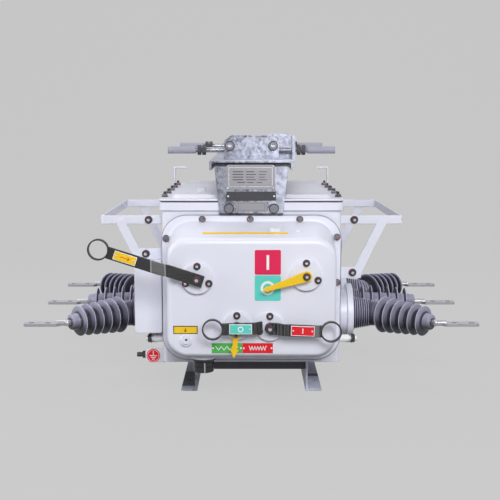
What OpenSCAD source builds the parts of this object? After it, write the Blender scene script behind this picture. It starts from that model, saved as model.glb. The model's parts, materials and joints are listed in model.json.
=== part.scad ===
// Outdoor vacuum circuit breaker in a sealed steel tank, with a spring mechanism under its front cover.
// Millimetres. +X is to the right of someone who faces the mechanism cover, +Y runs to the back of the
// tank and +Z is up. The origin lies on the ground, in the middle of the four foot holes.

/* [Tank] */
// Width of the tank between its side walls
tank_w = 410; // [390:2:440]
// Depth of the tank from front wall to rear wall
tank_d = 584; // [560:2:640]
// Height of the tank from its floor to the gasket
tank_h = 373; // [360:1:420]
// Radius of the upright tank corners
tank_corner_r = 10; // [4:1:16]
// Height of the band round the top of the tank
rim_h = 19; // [12:1:24]
// How far the band stands out from the walls
rim_out = 6; // [4:1:10]

/* [Lid] */
// Thickness of the rubber gasket under the lid
gasket_t = 3; // [2:0.5:5]
// Thickness of the lid plate
lid_t = 5; // [3:0.5:8]
// Height of the raised panel pressed into the lid
panel_h = 8; // [4:1:14]
// Margin between the lid edge and the raised panel
panel_margin = 26; // [20:1:36]

/* [Mechanism cover] */
// Height of the cover flange
cover_h = 335; // [310:1:340]
// Thickness of the cover flange
cover_flange_t = 4; // [3:0.5:6]
// Depth of the cover in front of its flange
cover_depth = 109; // [90:1:130]
// Width of the cover's front face
face_w = 372; // [350:1:376]
// Height of the cover's front face
face_h = 268; // [250:1:280]
// Corner radius of the front face
face_corner_r = 46; // [30:1:60]
// Radius that rolls the front face into the sides
face_edge_r = 14; // [8:1:20]

/* [Bushings] */
// Distance between neighbouring phases at the tank wall
phase_pitch = 155; // [150:1:165]
// Height of the bushing axes above the tank floor
bushing_up = 79; // [76:1:110]
// Outside diameter of the clamp ring on each turret
turret_d = 148; // [130:1:149]
// Length of a turret from the tank wall to its face
turret_l = 45; // [30:1:60]
// Angle by which the outer phases splay
splay = 43; // [30:1:48]
// Diameter of the first and largest shed
shed_d_first = 90; // [76:1:94]
// Diameter of the last and smallest shed
shed_d_last = 73; // [60:1:80]
// Distance between sheds
shed_pitch = 22.7; // [20:0.1:24]
// Number of sheds on a bushing
shed_count = 6; // [4:1:7]

/* [Terminals] */
// Overall width over the tips of the terminals
span = 1084; // [1060:2:1140]
// Width of a terminal palm
palm_w = 30; // [26:1:40]
// Thickness of a terminal palm
palm_t = 6.5; // [5:0.5:8]
// Distance between the two holes of a palm
palm_hole_pitch = 40; // [30:1:44]
// Diameter of the palm holes
palm_hole_d = 13; // [9:0.5:14]

/* [Hanger] */
// Width of the hanger beam
beam_w = 190; // [180:2:220]
// How far the hanger beam runs past the plates that carry it
beam_overhang = 8; // [2:1:20]
// Height of the beam's top above the lid
beam_up = 87; // [70:1:110]
// Thickness of the hanger's plates
hanger_t = 6; // [4:1:8]
// Length of each tie rod over its sleeves
rod_l = 394; // [380:2:440]
// Diameter of the tie rods
rod_d = 13; // [10:1:16]

/* [Feet] */
// Height of the foot rails, which is the height of the tank floor
rail_h = 76; // [70:1:100]
// Width of a rail's sole
rail_w = 38; // [34:1:50]
// Thickness of the rails
rail_t = 5; // [4:0.5:8]
// Length of the rails
rail_l = 540; // [500:2:560]
// Distance between the foot holes across the tank
foot_hole_x = 298; // [280:2:330]
// Distance between the foot holes along a rail
foot_hole_y = 386; // [340:2:420]
// Diameter of the foot holes
foot_hole_d = 14; // [10:1:18]

/* [Handles] */
// Distance from the charging lever's shaft to the middle of its ring
lever_l = 220; // [200:1:240]
// Angle of the charging lever above level at rest
lever_rest = 17.85; // [12:0.05:24]
// Width of the lever and handle bars
bar_w = 26; // [22:1:28]
// Thickness of the lever and handle bars
bar_t = 6; // [4:0.5:7]
// Outside radius of the pull rings
ring_r = 23; // [20:0.5:27]
// Thickness of the pull rings
ring_t = 3; // [2:0.5:4]

/* [Arrester brackets] */
// Distance of the brackets' outer bars from the middle of the tank
bracket_reach = 348; // [330:1:380]
// Height of the brackets' flat bar
flat_h = 20; // [16:1:30]
// Thickness of the brackets' flat bar
flat_t = 4; // [3:0.5:6]

/* [Hidden] */

// Smoothness of round shapes, and of rounded shapes inside a hull
$fn = 64;
hull_fn = 32;
// Overrun of cuts past the faces that they open
cut = 2;
// Gap round a shaft in its bore, and between a loose sleeve or collar and its seat
shaft_gap = 0.08;
seat_gap = 0.3;
LEFT = -1;
RIGHT = 1;
FRONT = -1;
MIDDLE = 0;
REAR = 1;

// Tank and lid levels
floor_z = rail_h;
tank_top = floor_z + tank_h;
tank_front = -tank_d / 2;
rim_front = tank_front - rim_out;
wall_x = tank_w / 2;
gasket_inset = 3;
lid_z = tank_top + gasket_t;
lid_top = lid_z + lid_t;
panel_corner_r = 20;
panel_slope = 7;
lug_w = 20;
lug_d = 14;
lug_h = 9;
lug_x = -120;
lug_y = -160;

// Mechanism cover
cover_gasket_t = 3;
cover_margin_x = 1;
cover_margin_z = 8;
cover_w = tank_w - 2 * cover_margin_x;
cover_mid_z = floor_z + cover_margin_z + cover_h / 2;
cover_corner_r = 56;
cover_land = 15;
cover_body_corner_r = 50;
face_drop = 4;
flange_back = tank_front - cover_gasket_t;
flange_front = flange_back - cover_flange_t;
face_y = flange_front - cover_depth;
face_z = cover_mid_z - face_drop;
face_edge_steps = 4;
seal_inset = 1;
seal_band = 12;

// Turrets and bushings
phase_middle_y = 50;
bushing_z = floor_z + bushing_up;
turret_neck_d = 126;
turret_ring_t = 14;
turret_face = wall_x + turret_l;
base_d = 84;
base_end_d = 60;
base_l = 59;
base_l_middle = 38;
base_rib_count = 11;
base_rib_count_middle = 7;
base_rib_depth = 2.4;
rib_crest_shares = [0.25, 0.75];
knuckle_r = 31.5;
core_d_first = 50;
core_d_last = 42;
shed_first = 32;
shed_first_middle = 9;
shed_root_t = 11;
shed_rim_t = 4;
shed_lean = 0.5;
neck_d = 38;
neck_l = 19;
neck_round = 5;

// Side box on the left wall, in front of the first turret
box_reach = 62;
box_proud = 6;
box_turret_gap = 27;
box_front = tank_front - box_proud;
box_depth = phase_middle_y - phase_pitch - turret_d / 2 - box_turret_gap - box_front;
box_up = 72;
box_z = floor_z + box_up;
box_h = 166;
box_corner_r = 5;
box_cover_t = 3;
box_cover_lap = 2;

// Terminals
shank_d = 14;
shank_knuckle_d = 16;
shank_clear = 1;
shank_reach = 204;
palm_l = span / 2 - turret_face - shank_reach;
palm_root_w = 11;
palm_shoulder_l = 10;
palm_end_r = 7;
palm_drop = 3;
palm_hole_edge = 17;

// Arrester brackets
bracket_inset = 30;
bracket_d = 452;
bracket_front = tank_front + bracket_inset;
bracket_rear = bracket_front + bracket_d;
bracket_below_top = 53;
bracket_z = tank_top - bracket_below_top;
brace_w = 20;
brace_t = 4;
brace_top_in = 48;
brace_drop = 113;
brace_slope = 2.05;
brace_tab_h = 26;
brace_lap = 15;

// Hanger
lip_h = 21;
plate_top_w = 170;
plate_bottom_w = 144;
plate_below_top = 28;
plate_foot = tank_top - plate_below_top;
beam_top = lid_top + beam_up;
beam_l = tank_d + 2 * (rim_out + hanger_t + beam_overhang);
clamp_w = 130;
clamp_h = 50;
clamp_t = 8;
clamp_corner_r = 14;
clamp_inset = 83;
clamp_y = rim_front + clamp_inset;
rod_up = 21;
rod_z = beam_top + rod_up;
rod_behind = 16;
yoke_back_t = 6;
yoke_h = 54;
yoke_low_h = 40;
yoke_step = 52;
yoke_depth = 30;
yoke_left = -62;
yoke_right = 103;
yoke_cheek_t = 7;
sleeve_d = 17;
sleeve_room = 28;
sleeve_l = rod_l / 2 - yoke_right - sleeve_room;
sleeve_end_t = 2;
nut_across = 24;
nut_t = 11;
nut_gap = 2;

// Lifting hooks on the lid
hook_y = 122;
hook_w = 20;
hook_t = 4;
hook_h = 54;
hook_reach = 34;
hook_inset = 3;

// Feet
hole_from_web = 21;
rail_x = foot_hole_x / 2 - hole_from_web;
crossbar_h = 26;
crossbar_t = 12;
crossbar_inset = 18;
crossbar_y = rail_l / 2 - crossbar_inset;

// Small fittings
socket_x = -108;
socket_out = 53;
socket_y = flange_front - socket_out;
socket_up = 27;
socket_top = floor_z + socket_up;
socket_d = 46;
socket_flange_d = 54;
socket_flange_t = 5;
socket_h = 32;
socket_bore_d = 36;
socket_bore_depth = 18;
pad_d = 62;
valve_x = -144;
valve_below = 93;
valve_d = 27;
valve_t = 5;
valve_plug_across = 17;
valve_plug_t = 4;
stud_inset = 26;
stud_y = tank_front + stud_inset;
stud_up = 51;
stud_z = floor_z + stud_up;
stud_sleeve_d = 17;
stud_sleeve_l = 24;
stud_d = 12;
stud_l = 42;
earth_inset = 22;
earth_y = tank_front + earth_inset;
earth_t = 6;
earth_reach = 44;
earth_h = 32;
earth_up = -6;
earth_z = floor_z + earth_up;
earth_corner_r = 8;

// Shafts, bosses and moving pieces
boss_t = 10;
boss_face = face_y - boss_t;
boss_r = 35;
small_boss_r = 32;
lever_x = -118;
lever_above = 45.5;
pointer_x = 119;
pointer_above = 52.5;
opening_x = -32;
opening_below = 60;
closing_x = 40;
closing_below = 61.5;
lever_at = [lever_x, face_z + lever_above];
pointer_at = [pointer_x, face_z + pointer_above];
opening_at = [opening_x, face_z - opening_below];
closing_at = [closing_x, face_z - closing_below];
shaft_d = 16;
collar_d = 22;
thin_shaft_d = 10;
thin_collar_d = 19;
hub_gap = 11.5;
inner_back = boss_face - hub_gap;
jog = 10;
outer_back = inner_back - jog;
shaft_depth = 8;
shaft_grip = 2;
bar_tail = 14;
lever_jog_at = 66;
jog_run = 14;
ring_depth = 12;
opening_ring_l = 52;
opening_tail_l = 56;
opening_jog_at = 38;
closing_ring_l = 132;
closing_rest = 2;
closing_tail = 7;
closing_jog_at = 16;
tail_chamfer = 5;
opening_rest = 1.5;
pointer_hub_r = 11.6;
pointer_l = 101;
pointer_t = 4;
pointer_tip_w = 9;
pointer_head_w = 14;
pointer_head_l = 14;
pointer_rest = 18;
arrow_side = 2;
arrow_below = 21;
arrow_at = [opening_x - arrow_side, face_z - opening_below - arrow_below];
arrow_l = 49;
arrow_t = 3;
arrow_w = 11;
arrow_head_w = 19;
arrow_head_l = 20;
arrow_hub_r = 7.5;
arrow_rest = 6;
arrow_pin_d = 7;
arrow_gap = 3;

// Places that follow from the sizes above
function phase_y(phase) = phase_middle_y + phase * phase_pitch;
function splay_of(phase) = phase * splay;
function blend_of(a, b, share) = a + (b - a) * share;
// Where a bushing's neck ends, measured from its knuckle, or from the turret face on the middle phase
neck_end = shed_first + (shed_count - 1) * shed_pitch + shed_root_t / 2 + neck_l;
neck_end_middle = base_l_middle + shed_first_middle + (shed_count - 1) * shed_pitch + shed_root_t / 2 + neck_l;
// Y of a terminal palm: the outer phases reach it where the shank turns level with X
shank_turn = neck_end + shank_clear + shank_knuckle_d / 2;
function palm_y(phase) = phase_y(phase) + phase * shank_turn * sin(splay);

// Round bars along X and along Y, and a flat shape drawn in X and Z and given its thickness along Y
module x_bar(r, from, to) translate([from, 0, 0]) rotate([0, 90, 0]) cylinder(r = r, h = to - from);
module y_bar(r, from, to) translate([0, from, 0]) rotate([-90, 0, 0]) cylinder(r = r, h = to - from);
module upright(from, to) translate([0, to, 0]) rotate([90, 0, 0]) linear_extrude(to - from) children();
module on_side(side) mirror([side == LEFT ? 1 : 0, 0, 0]) children();

// A rectangle with round corners, centred
module rounded(w, h, r) {
    square([w - 2 * r, h], center = true);
    square([w, h - 2 * r], center = true);
    for (x = [-1, 1], y = [-1, 1])
        translate([x * (w / 2 - r), y * (h / 2 - r)]) circle(r);
}

// Steel tank with its welded rim band
module tank() color("aliceblue") {
    translate([0, 0, floor_z]) linear_extrude(tank_h) rounded(tank_w, tank_d, tank_corner_r);
    translate([0, 0, tank_top - rim_h]) linear_extrude(rim_h)
        rounded(tank_w + 2 * rim_out, tank_d + 2 * rim_out, tank_corner_r + rim_out);
}

module lid_gasket() color("dimgray")
    translate([0, 0, tank_top]) linear_extrude(gasket_t)
        rounded(tank_w + 2 * (rim_out - gasket_inset), tank_d + 2 * (rim_out - gasket_inset), tank_corner_r);

// Lid plate with a pressed panel that has sloping sides, and a small lug
module lid() color("aliceblue") {
    translate([0, 0, lid_z]) linear_extrude(lid_t)
        rounded(tank_w + 2 * rim_out, tank_d + 2 * rim_out, tank_corner_r + rim_out);
    panel_w = tank_w + 2 * rim_out - 2 * panel_margin;
    panel_d = tank_d + 2 * rim_out - 2 * panel_margin;
    hull() {
        translate([0, 0, lid_z]) linear_extrude(lid_t) rounded(panel_w, panel_d, panel_corner_r, $fn = hull_fn);
        translate([0, 0, lid_z]) linear_extrude(lid_t + panel_h)
            rounded(panel_w - 2 * panel_slope, panel_d - 2 * panel_slope, panel_corner_r - panel_slope, $fn = hull_fn);
    }
    translate([lug_x - lug_w / 2, lug_y - lug_d / 2, lid_z]) cube([lug_w, lug_d, lid_t + panel_h + lug_h]);
}

module cover_gasket() color("dimgray")
    upright(flange_back, tank_front) translate([0, cover_mid_z]) difference() {
        rounded(cover_w - 2 * seal_inset, cover_h - 2 * seal_inset, cover_corner_r - seal_inset);
        rounded(cover_w - 2 * seal_band, cover_h - 2 * seal_band, cover_corner_r - seal_band);
    }

// Pressed cover: a flat flange, and a body whose front edge is rolled over in a quarter round
module mechanism_cover() color("aliceblue") {
    upright(flange_front, flange_back) translate([0, cover_mid_z]) rounded(cover_w, cover_h, cover_corner_r);
    hull() {
        upright(flange_front - cut, flange_back) translate([0, cover_mid_z])
            rounded(cover_w - 2 * cover_land, cover_h - 2 * cover_land, cover_body_corner_r, $fn = hull_fn);
        for (step = [0 : face_edge_steps]) {
            turn = 90 * step / face_edge_steps;
            back = face_edge_r * (1 - sin(turn));
            inset = face_edge_r * (1 - cos(turn));
            upright(face_y + back, flange_front) translate([0, face_z])
                rounded(face_w - 2 * inset, face_h - 2 * inset, face_corner_r - inset, $fn = hull_fn);
        }
    }
    translate([socket_x, socket_y, socket_top]) cylinder(d = pad_d, h = face_z - socket_top);
}

module side_box() color("aliceblue")
    translate([-wall_x - box_reach / 2, box_front + box_cover_t + (box_depth - box_cover_t) / 2, box_z])
        linear_extrude(box_h) rounded(box_reach, box_depth - box_cover_t, box_corner_r);

module side_box_cover() color("white")
    upright(box_front, box_front + box_cover_t)
        translate([-wall_x - box_reach / 2 - box_cover_lap, box_z + box_h / 2])
            rounded(box_reach, box_h + 2 * box_cover_lap, box_corner_r);

// Welded necks with the rings that clamp the bushings
module turrets(side) color("aliceblue") on_side(side)
    for (phase = [FRONT, MIDDLE, REAR]) translate([0, phase_y(phase), bushing_z]) {
        x_bar(turret_neck_d / 2, wall_x, turret_face);
        x_bar(turret_d / 2, turret_face - turret_ring_t, turret_face);
    }
module turrets_left() turrets(LEFT);
module turrets_right() turrets(RIGHT);

// Half outlines of a bushing, as radius and distance along its axis
function rib_points(length, count, r_from, r_to) = [for (i = [0 : count - 1], k = [0 : 3])
    let (share = (i + [0, rib_crest_shares[0], rib_crest_shares[1], 1][k]) / count,
         r = blend_of(r_from, r_to, share))
    [k == 0 || k == 3 ? r - base_rib_depth : r, share * length]];
function shed_points(first) = [for (i = [0 : shed_count - 1], k = [0 : 3])
    let (share = i / (shed_count - 1),
         rim = blend_of(shed_d_first, shed_d_last, share) / 2,
         core = blend_of(core_d_first, core_d_last, share) / 2,
         at = first + i * shed_pitch)
    [[core, at - shed_root_t / 2], [rim, at - shed_lean - shed_rim_t / 2],
     [rim, at - shed_lean + shed_rim_t / 2], [core, at + shed_root_t / 2]][k]];
function neck_points(end) = [[neck_d / 2, end - neck_l + neck_round], [neck_d / 2, end - neck_round],
    [neck_d / 2 - neck_round, end], [0, end]];

// Silicone bushing: fine ribs next to the turret, a knuckle on the outer phases, then the large sheds
module bushing(side, phase) color("slategray") on_side(side)
    translate([turret_face, phase_y(phase), bushing_z]) {
        if (phase == MIDDLE)
            rotate([0, 90, 0]) rotate_extrude() polygon(concat([[0, 0]],
                rib_points(base_l_middle, base_rib_count_middle, base_d / 2, base_end_d / 2),
                shed_points(base_l_middle + shed_first_middle), neck_points(neck_end_middle)));
        else {
            rotate([0, 90, 0]) rotate_extrude() polygon(concat([[0, 0]],
                rib_points(base_l, base_rib_count, base_d / 2, base_end_d / 2), [[0, base_l]]));
            translate([base_l, 0, 0]) {
                rotate([0, 0, -splay_of(phase)]) sphere(knuckle_r);
                rotate([0, 0, splay_of(phase)]) rotate([0, 90, 0]) rotate_extrude() polygon(concat(
                    [[0, 0], [core_d_first / 2, 0]], shed_points(shed_first), neck_points(neck_end)));
            }
        }
    }
module bushing_left_front() bushing(LEFT, FRONT);
module bushing_left_middle() bushing(LEFT, MIDDLE);
module bushing_left_rear() bushing(LEFT, REAR);
module bushing_right_front() bushing(RIGHT, FRONT);
module bushing_right_middle() bushing(RIGHT, MIDDLE);
module bushing_right_rear() bushing(RIGHT, REAR);

// Copper stud that turns level with X and is flattened into a palm with two holes
module terminal(side, phase) color("silver") on_side(side) {
    palm_start = span / 2 - palm_l;
    translate([0, 0, bushing_z]) {
        if (phase == MIDDLE)
            translate([0, phase_y(phase), 0])
                x_bar(shank_d / 2, turret_face + neck_end_middle, palm_start + palm_shoulder_l);
        else {
            translate([turret_face + base_l, phase_y(phase), 0]) rotate([0, 0, splay_of(phase)])
                x_bar(shank_d / 2, neck_end, shank_turn);
            translate([turret_face + base_l + shank_turn * cos(splay), palm_y(phase), 0]) {
                rotate([0, 0, 90 * phase]) sphere(d = shank_knuckle_d);
                x_bar(shank_d / 2, 0, palm_start + palm_shoulder_l - turret_face - base_l - shank_turn * cos(splay));
            }
        }
        translate([span / 2 - palm_l, phase == MIDDLE ? phase_y(phase) : palm_y(phase), -palm_drop - palm_t / 2])
            linear_extrude(palm_t) difference() {
                union() {
                    polygon([[0, -palm_root_w / 2], [palm_shoulder_l, -palm_w / 2], [palm_l / 2, -palm_w / 2],
                        [palm_l / 2, palm_w / 2], [palm_shoulder_l, palm_w / 2], [0, palm_root_w / 2]]);
                    translate([palm_l * 3 / 4 - palm_end_r, 0])
                        rounded(palm_l / 2 + 2 * palm_end_r, palm_w, palm_end_r);
                }
                for (i = [0, 1]) translate([palm_l - palm_hole_edge - i * palm_hole_pitch, 0]) circle(d = palm_hole_d);
            }
    }
}
module terminal_left_front() terminal(LEFT, FRONT);
module terminal_left_middle() terminal(LEFT, MIDDLE);
module terminal_left_rear() terminal(LEFT, REAR);
module terminal_right_front() terminal(RIGHT, FRONT);
module terminal_right_middle() terminal(RIGHT, MIDDLE);
module terminal_right_rear() terminal(RIGHT, REAR);

// U-shaped frame of flat bar for the arresters, welded to the tank's side
module bracket(side) color("aliceblue") on_side(side) {
    depth = bracket_rear - bracket_front;
    reach = bracket_reach - wall_x;
    translate([wall_x, bracket_front, bracket_z]) difference() {
        cube([reach, depth, flat_h]);
        translate([-cut, flat_t, -cut]) cube([reach - flat_t + cut, depth - 2 * flat_t, flat_h + 2 * cut]);
    }
}
module bracket_left() bracket(LEFT);
module bracket_right() bracket(RIGHT);

// Flat diagonal braces that lap over the frames and run down to tabs on the tank's sides
module brace(y, drop) {
    top_x = bracket_reach - brace_top_in;
    foot_x = top_x - drop / brace_slope;
    foot_z = bracket_z - drop;
    length = norm([top_x - foot_x, drop]);
    upright(y, y + brace_t) {
        intersection() {
            translate([foot_x, foot_z]) rotate(atan(brace_slope))
                translate([-brace_w / 2, -brace_w / 2]) square([length + brace_w, brace_w]);
            translate([wall_x, 0]) square([bracket_reach - wall_x, bracket_z + brace_lap]);
        }
        translate([wall_x, foot_z - brace_tab_h / 2]) square([foot_x - wall_x + brace_w / 2, brace_tab_h]);
    }
}
// The left front brace stops on top of the side box
module bracket_braces() color("aliceblue") {
    over_box = bracket_z - box_z - box_h - brace_tab_h / 2;
    for (side = [LEFT, RIGHT]) on_side(side) {
        brace(bracket_front - brace_t, side == LEFT ? over_box : brace_drop);
        brace(bracket_rear, brace_drop);
    }
}

// Galvanised beam over the lid: a channel with its lips turned down
module hanger_beam() color("lightsteelblue")
    translate([0, beam_l / 2, beam_top]) rotate([90, 0, 0]) linear_extrude(beam_l) difference() {
        translate([-beam_w / 2, -lip_h]) square([beam_w, lip_h]);
        translate([hanger_t - beam_w / 2, -lip_h - cut]) square([beam_w - 2 * hanger_t, lip_h + cut - hanger_t]);
    }

// Tapered plates that carry the beam from the front and rear of the rim
module hanger_plates() color("lightsteelblue") for (turn = [0, 180]) rotate(turn)
    upright(rim_front - hanger_t, rim_front) polygon([
        [-plate_bottom_w / 2, plate_foot], [plate_bottom_w / 2, plate_foot],
        [plate_top_w / 2, beam_top - hanger_t], [-plate_top_w / 2, beam_top - hanger_t]]);

module clamp_plates() color("lightsteelblue") for (turn = [0, 1]) mirror([0, turn, 0])
    upright(clamp_y - clamp_t / 2, clamp_y + clamp_t / 2) {
        translate([0, beam_top + clamp_h / 2]) rounded(clamp_w, clamp_h, clamp_corner_r);
        translate([-clamp_w / 2, beam_top]) square([clamp_w, clamp_h / 2]);
    }

// Yokes behind the clamp plates: a stepped back plate with two cheeks that the tie rod passes through
module rod_brackets() color("lightsteelblue") for (turn = [0, 1]) mirror([0, turn, 0]) {
    front = clamp_y + clamp_t / 2;
    difference() {
        translate([yoke_left, front, beam_top]) cube([yoke_right - yoke_left, yoke_depth, yoke_h]);
        translate([yoke_left + yoke_cheek_t, front - cut, beam_top - cut])
            cube([yoke_right - yoke_left - 2 * yoke_cheek_t, yoke_depth - yoke_back_t + cut, yoke_h + 2 * cut]);
        translate([yoke_left - cut, front - cut, beam_top + yoke_low_h])
            cube([yoke_step - yoke_left + cut, yoke_depth + 2 * cut, yoke_h]);
        translate([0, clamp_y + rod_behind, rod_z]) x_bar(rod_d / 2 + seat_gap, yoke_left - cut, yoke_right + cut);
    }
}

module at_rods() for (turn = [0, 1]) mirror([0, turn, 0]) translate([0, clamp_y + rod_behind, rod_z]) children();
module tie_rods() color("silver") at_rods() x_bar(rod_d / 2, sleeve_end_t - rod_l / 2, rod_l / 2 - sleeve_end_t);
module rod_sleeves() color("slategray") at_rods() for (side = [LEFT, RIGHT]) on_side(side)
    difference() {
        x_bar(sleeve_d / 2, rod_l / 2 - sleeve_l, rod_l / 2);
        x_bar(rod_d / 2 + seat_gap, rod_l / 2 - sleeve_l - cut, rod_l / 2 - sleeve_end_t + seat_gap);
    }

// Pairs of hexagon nuts between each cheek and sleeve
module rod_nuts() color("dimgray") at_rods() for (side = [LEFT, RIGHT], i = [0, 1]) on_side(side)
    translate([rod_l / 2 - sleeve_l - nut_gap - (i + 1) * nut_t, 0, 0]) difference() {
        rotate([0, 90, 0]) cylinder(d = nut_across, h = nut_t - nut_gap, $fn = 6);
        x_bar(rod_d / 2 + seat_gap, -cut, nut_t + cut);
    }

// Bent flat hooks on the edge of the lid
module lifting_hooks() color("aliceblue") for (side = [LEFT, RIGHT]) on_side(side)
    upright(hook_y - hook_w / 2, hook_y + hook_w / 2) {
        translate([wall_x + rim_out - hook_inset - hook_t, lid_top]) square([hook_t, hook_h]);
        translate([wall_x + rim_out - hook_inset - hook_reach, lid_top + hook_h - hook_t]) square([hook_reach, hook_t]);
    }

// Angle rails that the tank stands on, with a hole near each end of the sole
module foot_rail(side) color("lightsteelblue") on_side(side) difference() {
    union() {
        translate([rail_x, -rail_l / 2, 0]) cube([rail_t, rail_l, rail_h]);
        translate([rail_x, -rail_l / 2, 0]) cube([rail_w, rail_l, rail_t]);
    }
    for (end = [-1, 1]) translate([foot_hole_x / 2, end * foot_hole_y / 2, -cut])
        cylinder(d = foot_hole_d, h = rail_t + 2 * cut);
}
module foot_rail_left() foot_rail(LEFT);
module foot_rail_right() foot_rail(RIGHT);

module foot_crossbars() color("slategray") for (end = [-1, 1])
    translate([-rail_x, end * crossbar_y - crossbar_t / 2, floor_z - crossbar_h])
        cube([2 * rail_x, crossbar_t, crossbar_h]);

// Round socket for the control cable, open at the bottom
module cable_socket() color("silver") translate([socket_x, socket_y, socket_top]) difference() {
    union() {
        translate([0, 0, -socket_flange_t]) cylinder(d = socket_flange_d, h = socket_flange_t);
        translate([0, 0, -socket_h]) cylinder(d = socket_d, h = socket_h);
    }
    translate([0, 0, -socket_h - cut]) cylinder(d = socket_bore_d, h = socket_bore_depth + cut);
}

module fill_valve() color("silver") translate([valve_x, 0, face_z - valve_below]) {
    y_bar(valve_d / 2, face_y - valve_t, face_y);
    rotate([90, 0, 0]) translate([0, 0, -face_y]) cylinder(d = valve_plug_across, h = valve_t + valve_plug_t, $fn = 6);
}

module wall_studs() color("white") for (side = [LEFT, RIGHT]) on_side(side) translate([0, stud_y, stud_z]) {
    x_bar(stud_sleeve_d / 2, wall_x, wall_x + stud_sleeve_l);
    x_bar(stud_d / 2, wall_x, wall_x + stud_l);
}

module earth_lug() color("aliceblue") upright(earth_y, earth_y + earth_t)
    translate([-wall_x - earth_reach, earth_z]) {
        translate([earth_reach / 2, earth_h / 2]) rounded(earth_reach, earth_h, earth_corner_r);
        translate([earth_reach / 2, 0]) square([earth_reach / 2, earth_h]);
    }

// Round bosses on the cover, bored for the shafts
module boss(at, r, shaft) translate([at.x, 0, at.y]) difference() {
    y_bar(r, boss_face, face_y);
    y_bar(shaft / 2, boss_face - cut, boss_face + shaft_depth);
    children();
}
module shaft_bosses() color("aliceblue") {
    boss(lever_at, boss_r, shaft_d);
    boss(pointer_at, boss_r, thin_shaft_d);
    boss(closing_at, small_boss_r, shaft_d);
    boss(opening_at, small_boss_r, shaft_d)
        translate([arrow_at.x - opening_at.x, 0, arrow_at.y - opening_at.y])
            y_bar(arrow_pin_d / 2, boss_face - cut, boss_face + shaft_depth);
}

// Shaft with the collar that keeps its bar off the boss
module shaft(d, collar, back) {
    y_bar(d / 2 - shaft_gap, back - shaft_grip, boss_face + shaft_depth - seat_gap);
    y_bar(collar / 2, back - shaft_grip, boss_face - seat_gap);
}

// Flat bar along X that steps from one depth to another, drawn from above and given its width along Z
module stepped_bar(from, step_at, to, back_from, back_to)
    translate([0, 0, -bar_w / 2]) linear_extrude(bar_w) polygon([
        [from, back_from], [step_at, back_from], [step_at + jog_run, back_to], [to, back_to],
        [to, back_to - bar_t], [step_at + jog_run, back_to - bar_t], [step_at, back_from - bar_t],
        [from, back_from - bar_t]]);

// Rolled pull ring, with the bar that carries it
module with_ring(at, back) difference() {
    union() {
        children();
        translate([at, 0, 0]) y_bar(ring_r, back - bar_t / 2 - ring_depth / 2, back - bar_t / 2 + ring_depth / 2);
    }
    translate([at, 0, 0]) y_bar(ring_r - ring_t, back - bar_t - ring_depth, back + ring_depth);
}

module charging_lever() color("dimgray") translate([lever_at.x, 0, lever_at.y]) {
    rotate([0, 180 + lever_rest, 0]) with_ring(lever_l, outer_back)
        stepped_bar(-bar_tail, lever_jog_at, lever_l - ring_r + ring_t, inner_back, outer_back);
    shaft(shaft_d, collar_d, inner_back);
}

// Ring handle that opens the breaker, with a tail stepped back beyond its shaft
module opening_handle() color("dimgray") translate([opening_at.x, 0, opening_at.y]) {
    rotate([0, 180 - opening_rest, 0]) with_ring(opening_ring_l, outer_back)
        stepped_bar(-opening_jog_at, -opening_jog_at, opening_ring_l - ring_r + ring_t, outer_back, outer_back);
    rotate([0, -opening_rest, 0])
        stepped_bar(opening_jog_at - bar_t, opening_jog_at, opening_tail_l, outer_back, inner_back);
    shaft(shaft_d, collar_d, outer_back);
}

module closing_handle() color("dimgray") translate([closing_at.x, 0, closing_at.y]) {
    rotate([0, closing_rest, 0]) difference() {
        with_ring(closing_ring_l, outer_back)
            stepped_bar(-closing_tail, closing_jog_at, closing_ring_l - ring_r + ring_t, inner_back, outer_back);
        for (end = [-1, 1]) translate([-closing_tail, 0, end * bar_w / 2]) rotate([0, 45, 0])
            translate([-tail_chamfer, outer_back, -tail_chamfer])
                cube([2 * tail_chamfer, inner_back - outer_back + cut, 2 * tail_chamfer]);
    }
    shaft(shaft_d, collar_d, inner_back);
}

// Flat pointer outline along +X: a round hub, a tapering arm and an arrow head
module pointer_shape(hub, length, arm_from, arm_to, head_w, head_l) {
    circle(hub);
    polygon([[0, -arm_from / 2], [length - head_l, -arm_to / 2], [length - head_l, -head_w / 2], [length, 0],
        [length - head_l, head_w / 2], [length - head_l, arm_to / 2], [0, arm_from / 2]]);
}

module position_pointer() color("gold") translate([pointer_at.x, 0, pointer_at.y]) {
    upright(inner_back - pointer_t, inner_back) rotate(180 + pointer_rest)
        pointer_shape(pointer_hub_r, pointer_l, 2 * pointer_hub_r, pointer_tip_w, pointer_head_w, pointer_head_l);
    shaft(thin_shaft_d, thin_collar_d, inner_back);
}

module energy_arrow() color("gold") translate([arrow_at.x, 0, arrow_at.y]) {
    upright(boss_face - arrow_gap - arrow_t, boss_face - arrow_gap) rotate(-90 - arrow_rest)
        pointer_shape(arrow_hub_r, arrow_l, arrow_w, arrow_w, arrow_head_w, arrow_head_l);
    y_bar(arrow_pin_d / 2 - shaft_gap, boss_face - arrow_gap, boss_face + shaft_depth - seat_gap);
    y_bar(arrow_hub_r, boss_face - arrow_gap, boss_face - seat_gap);
}

tank();
lid_gasket();
lid();
cover_gasket();
mechanism_cover();
side_box();
side_box_cover();
turrets_left();
turrets_right();
bushing_left_front();
bushing_left_middle();
bushing_left_rear();
bushing_right_front();
bushing_right_middle();
bushing_right_rear();
terminal_left_front();
terminal_left_middle();
terminal_left_rear();
terminal_right_front();
terminal_right_middle();
terminal_right_rear();
bracket_left();
bracket_right();
bracket_braces();
hanger_beam();
hanger_plates();
clamp_plates();
rod_brackets();
tie_rods();
rod_sleeves();
rod_nuts();
lifting_hooks();
foot_rail_left();
foot_rail_right();
foot_crossbars();
cable_socket();
fill_valve();
wall_studs();
earth_lug();
shaft_bosses();
charging_lever();
position_pointer();
opening_handle();
closing_handle();
energy_arrow();
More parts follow.
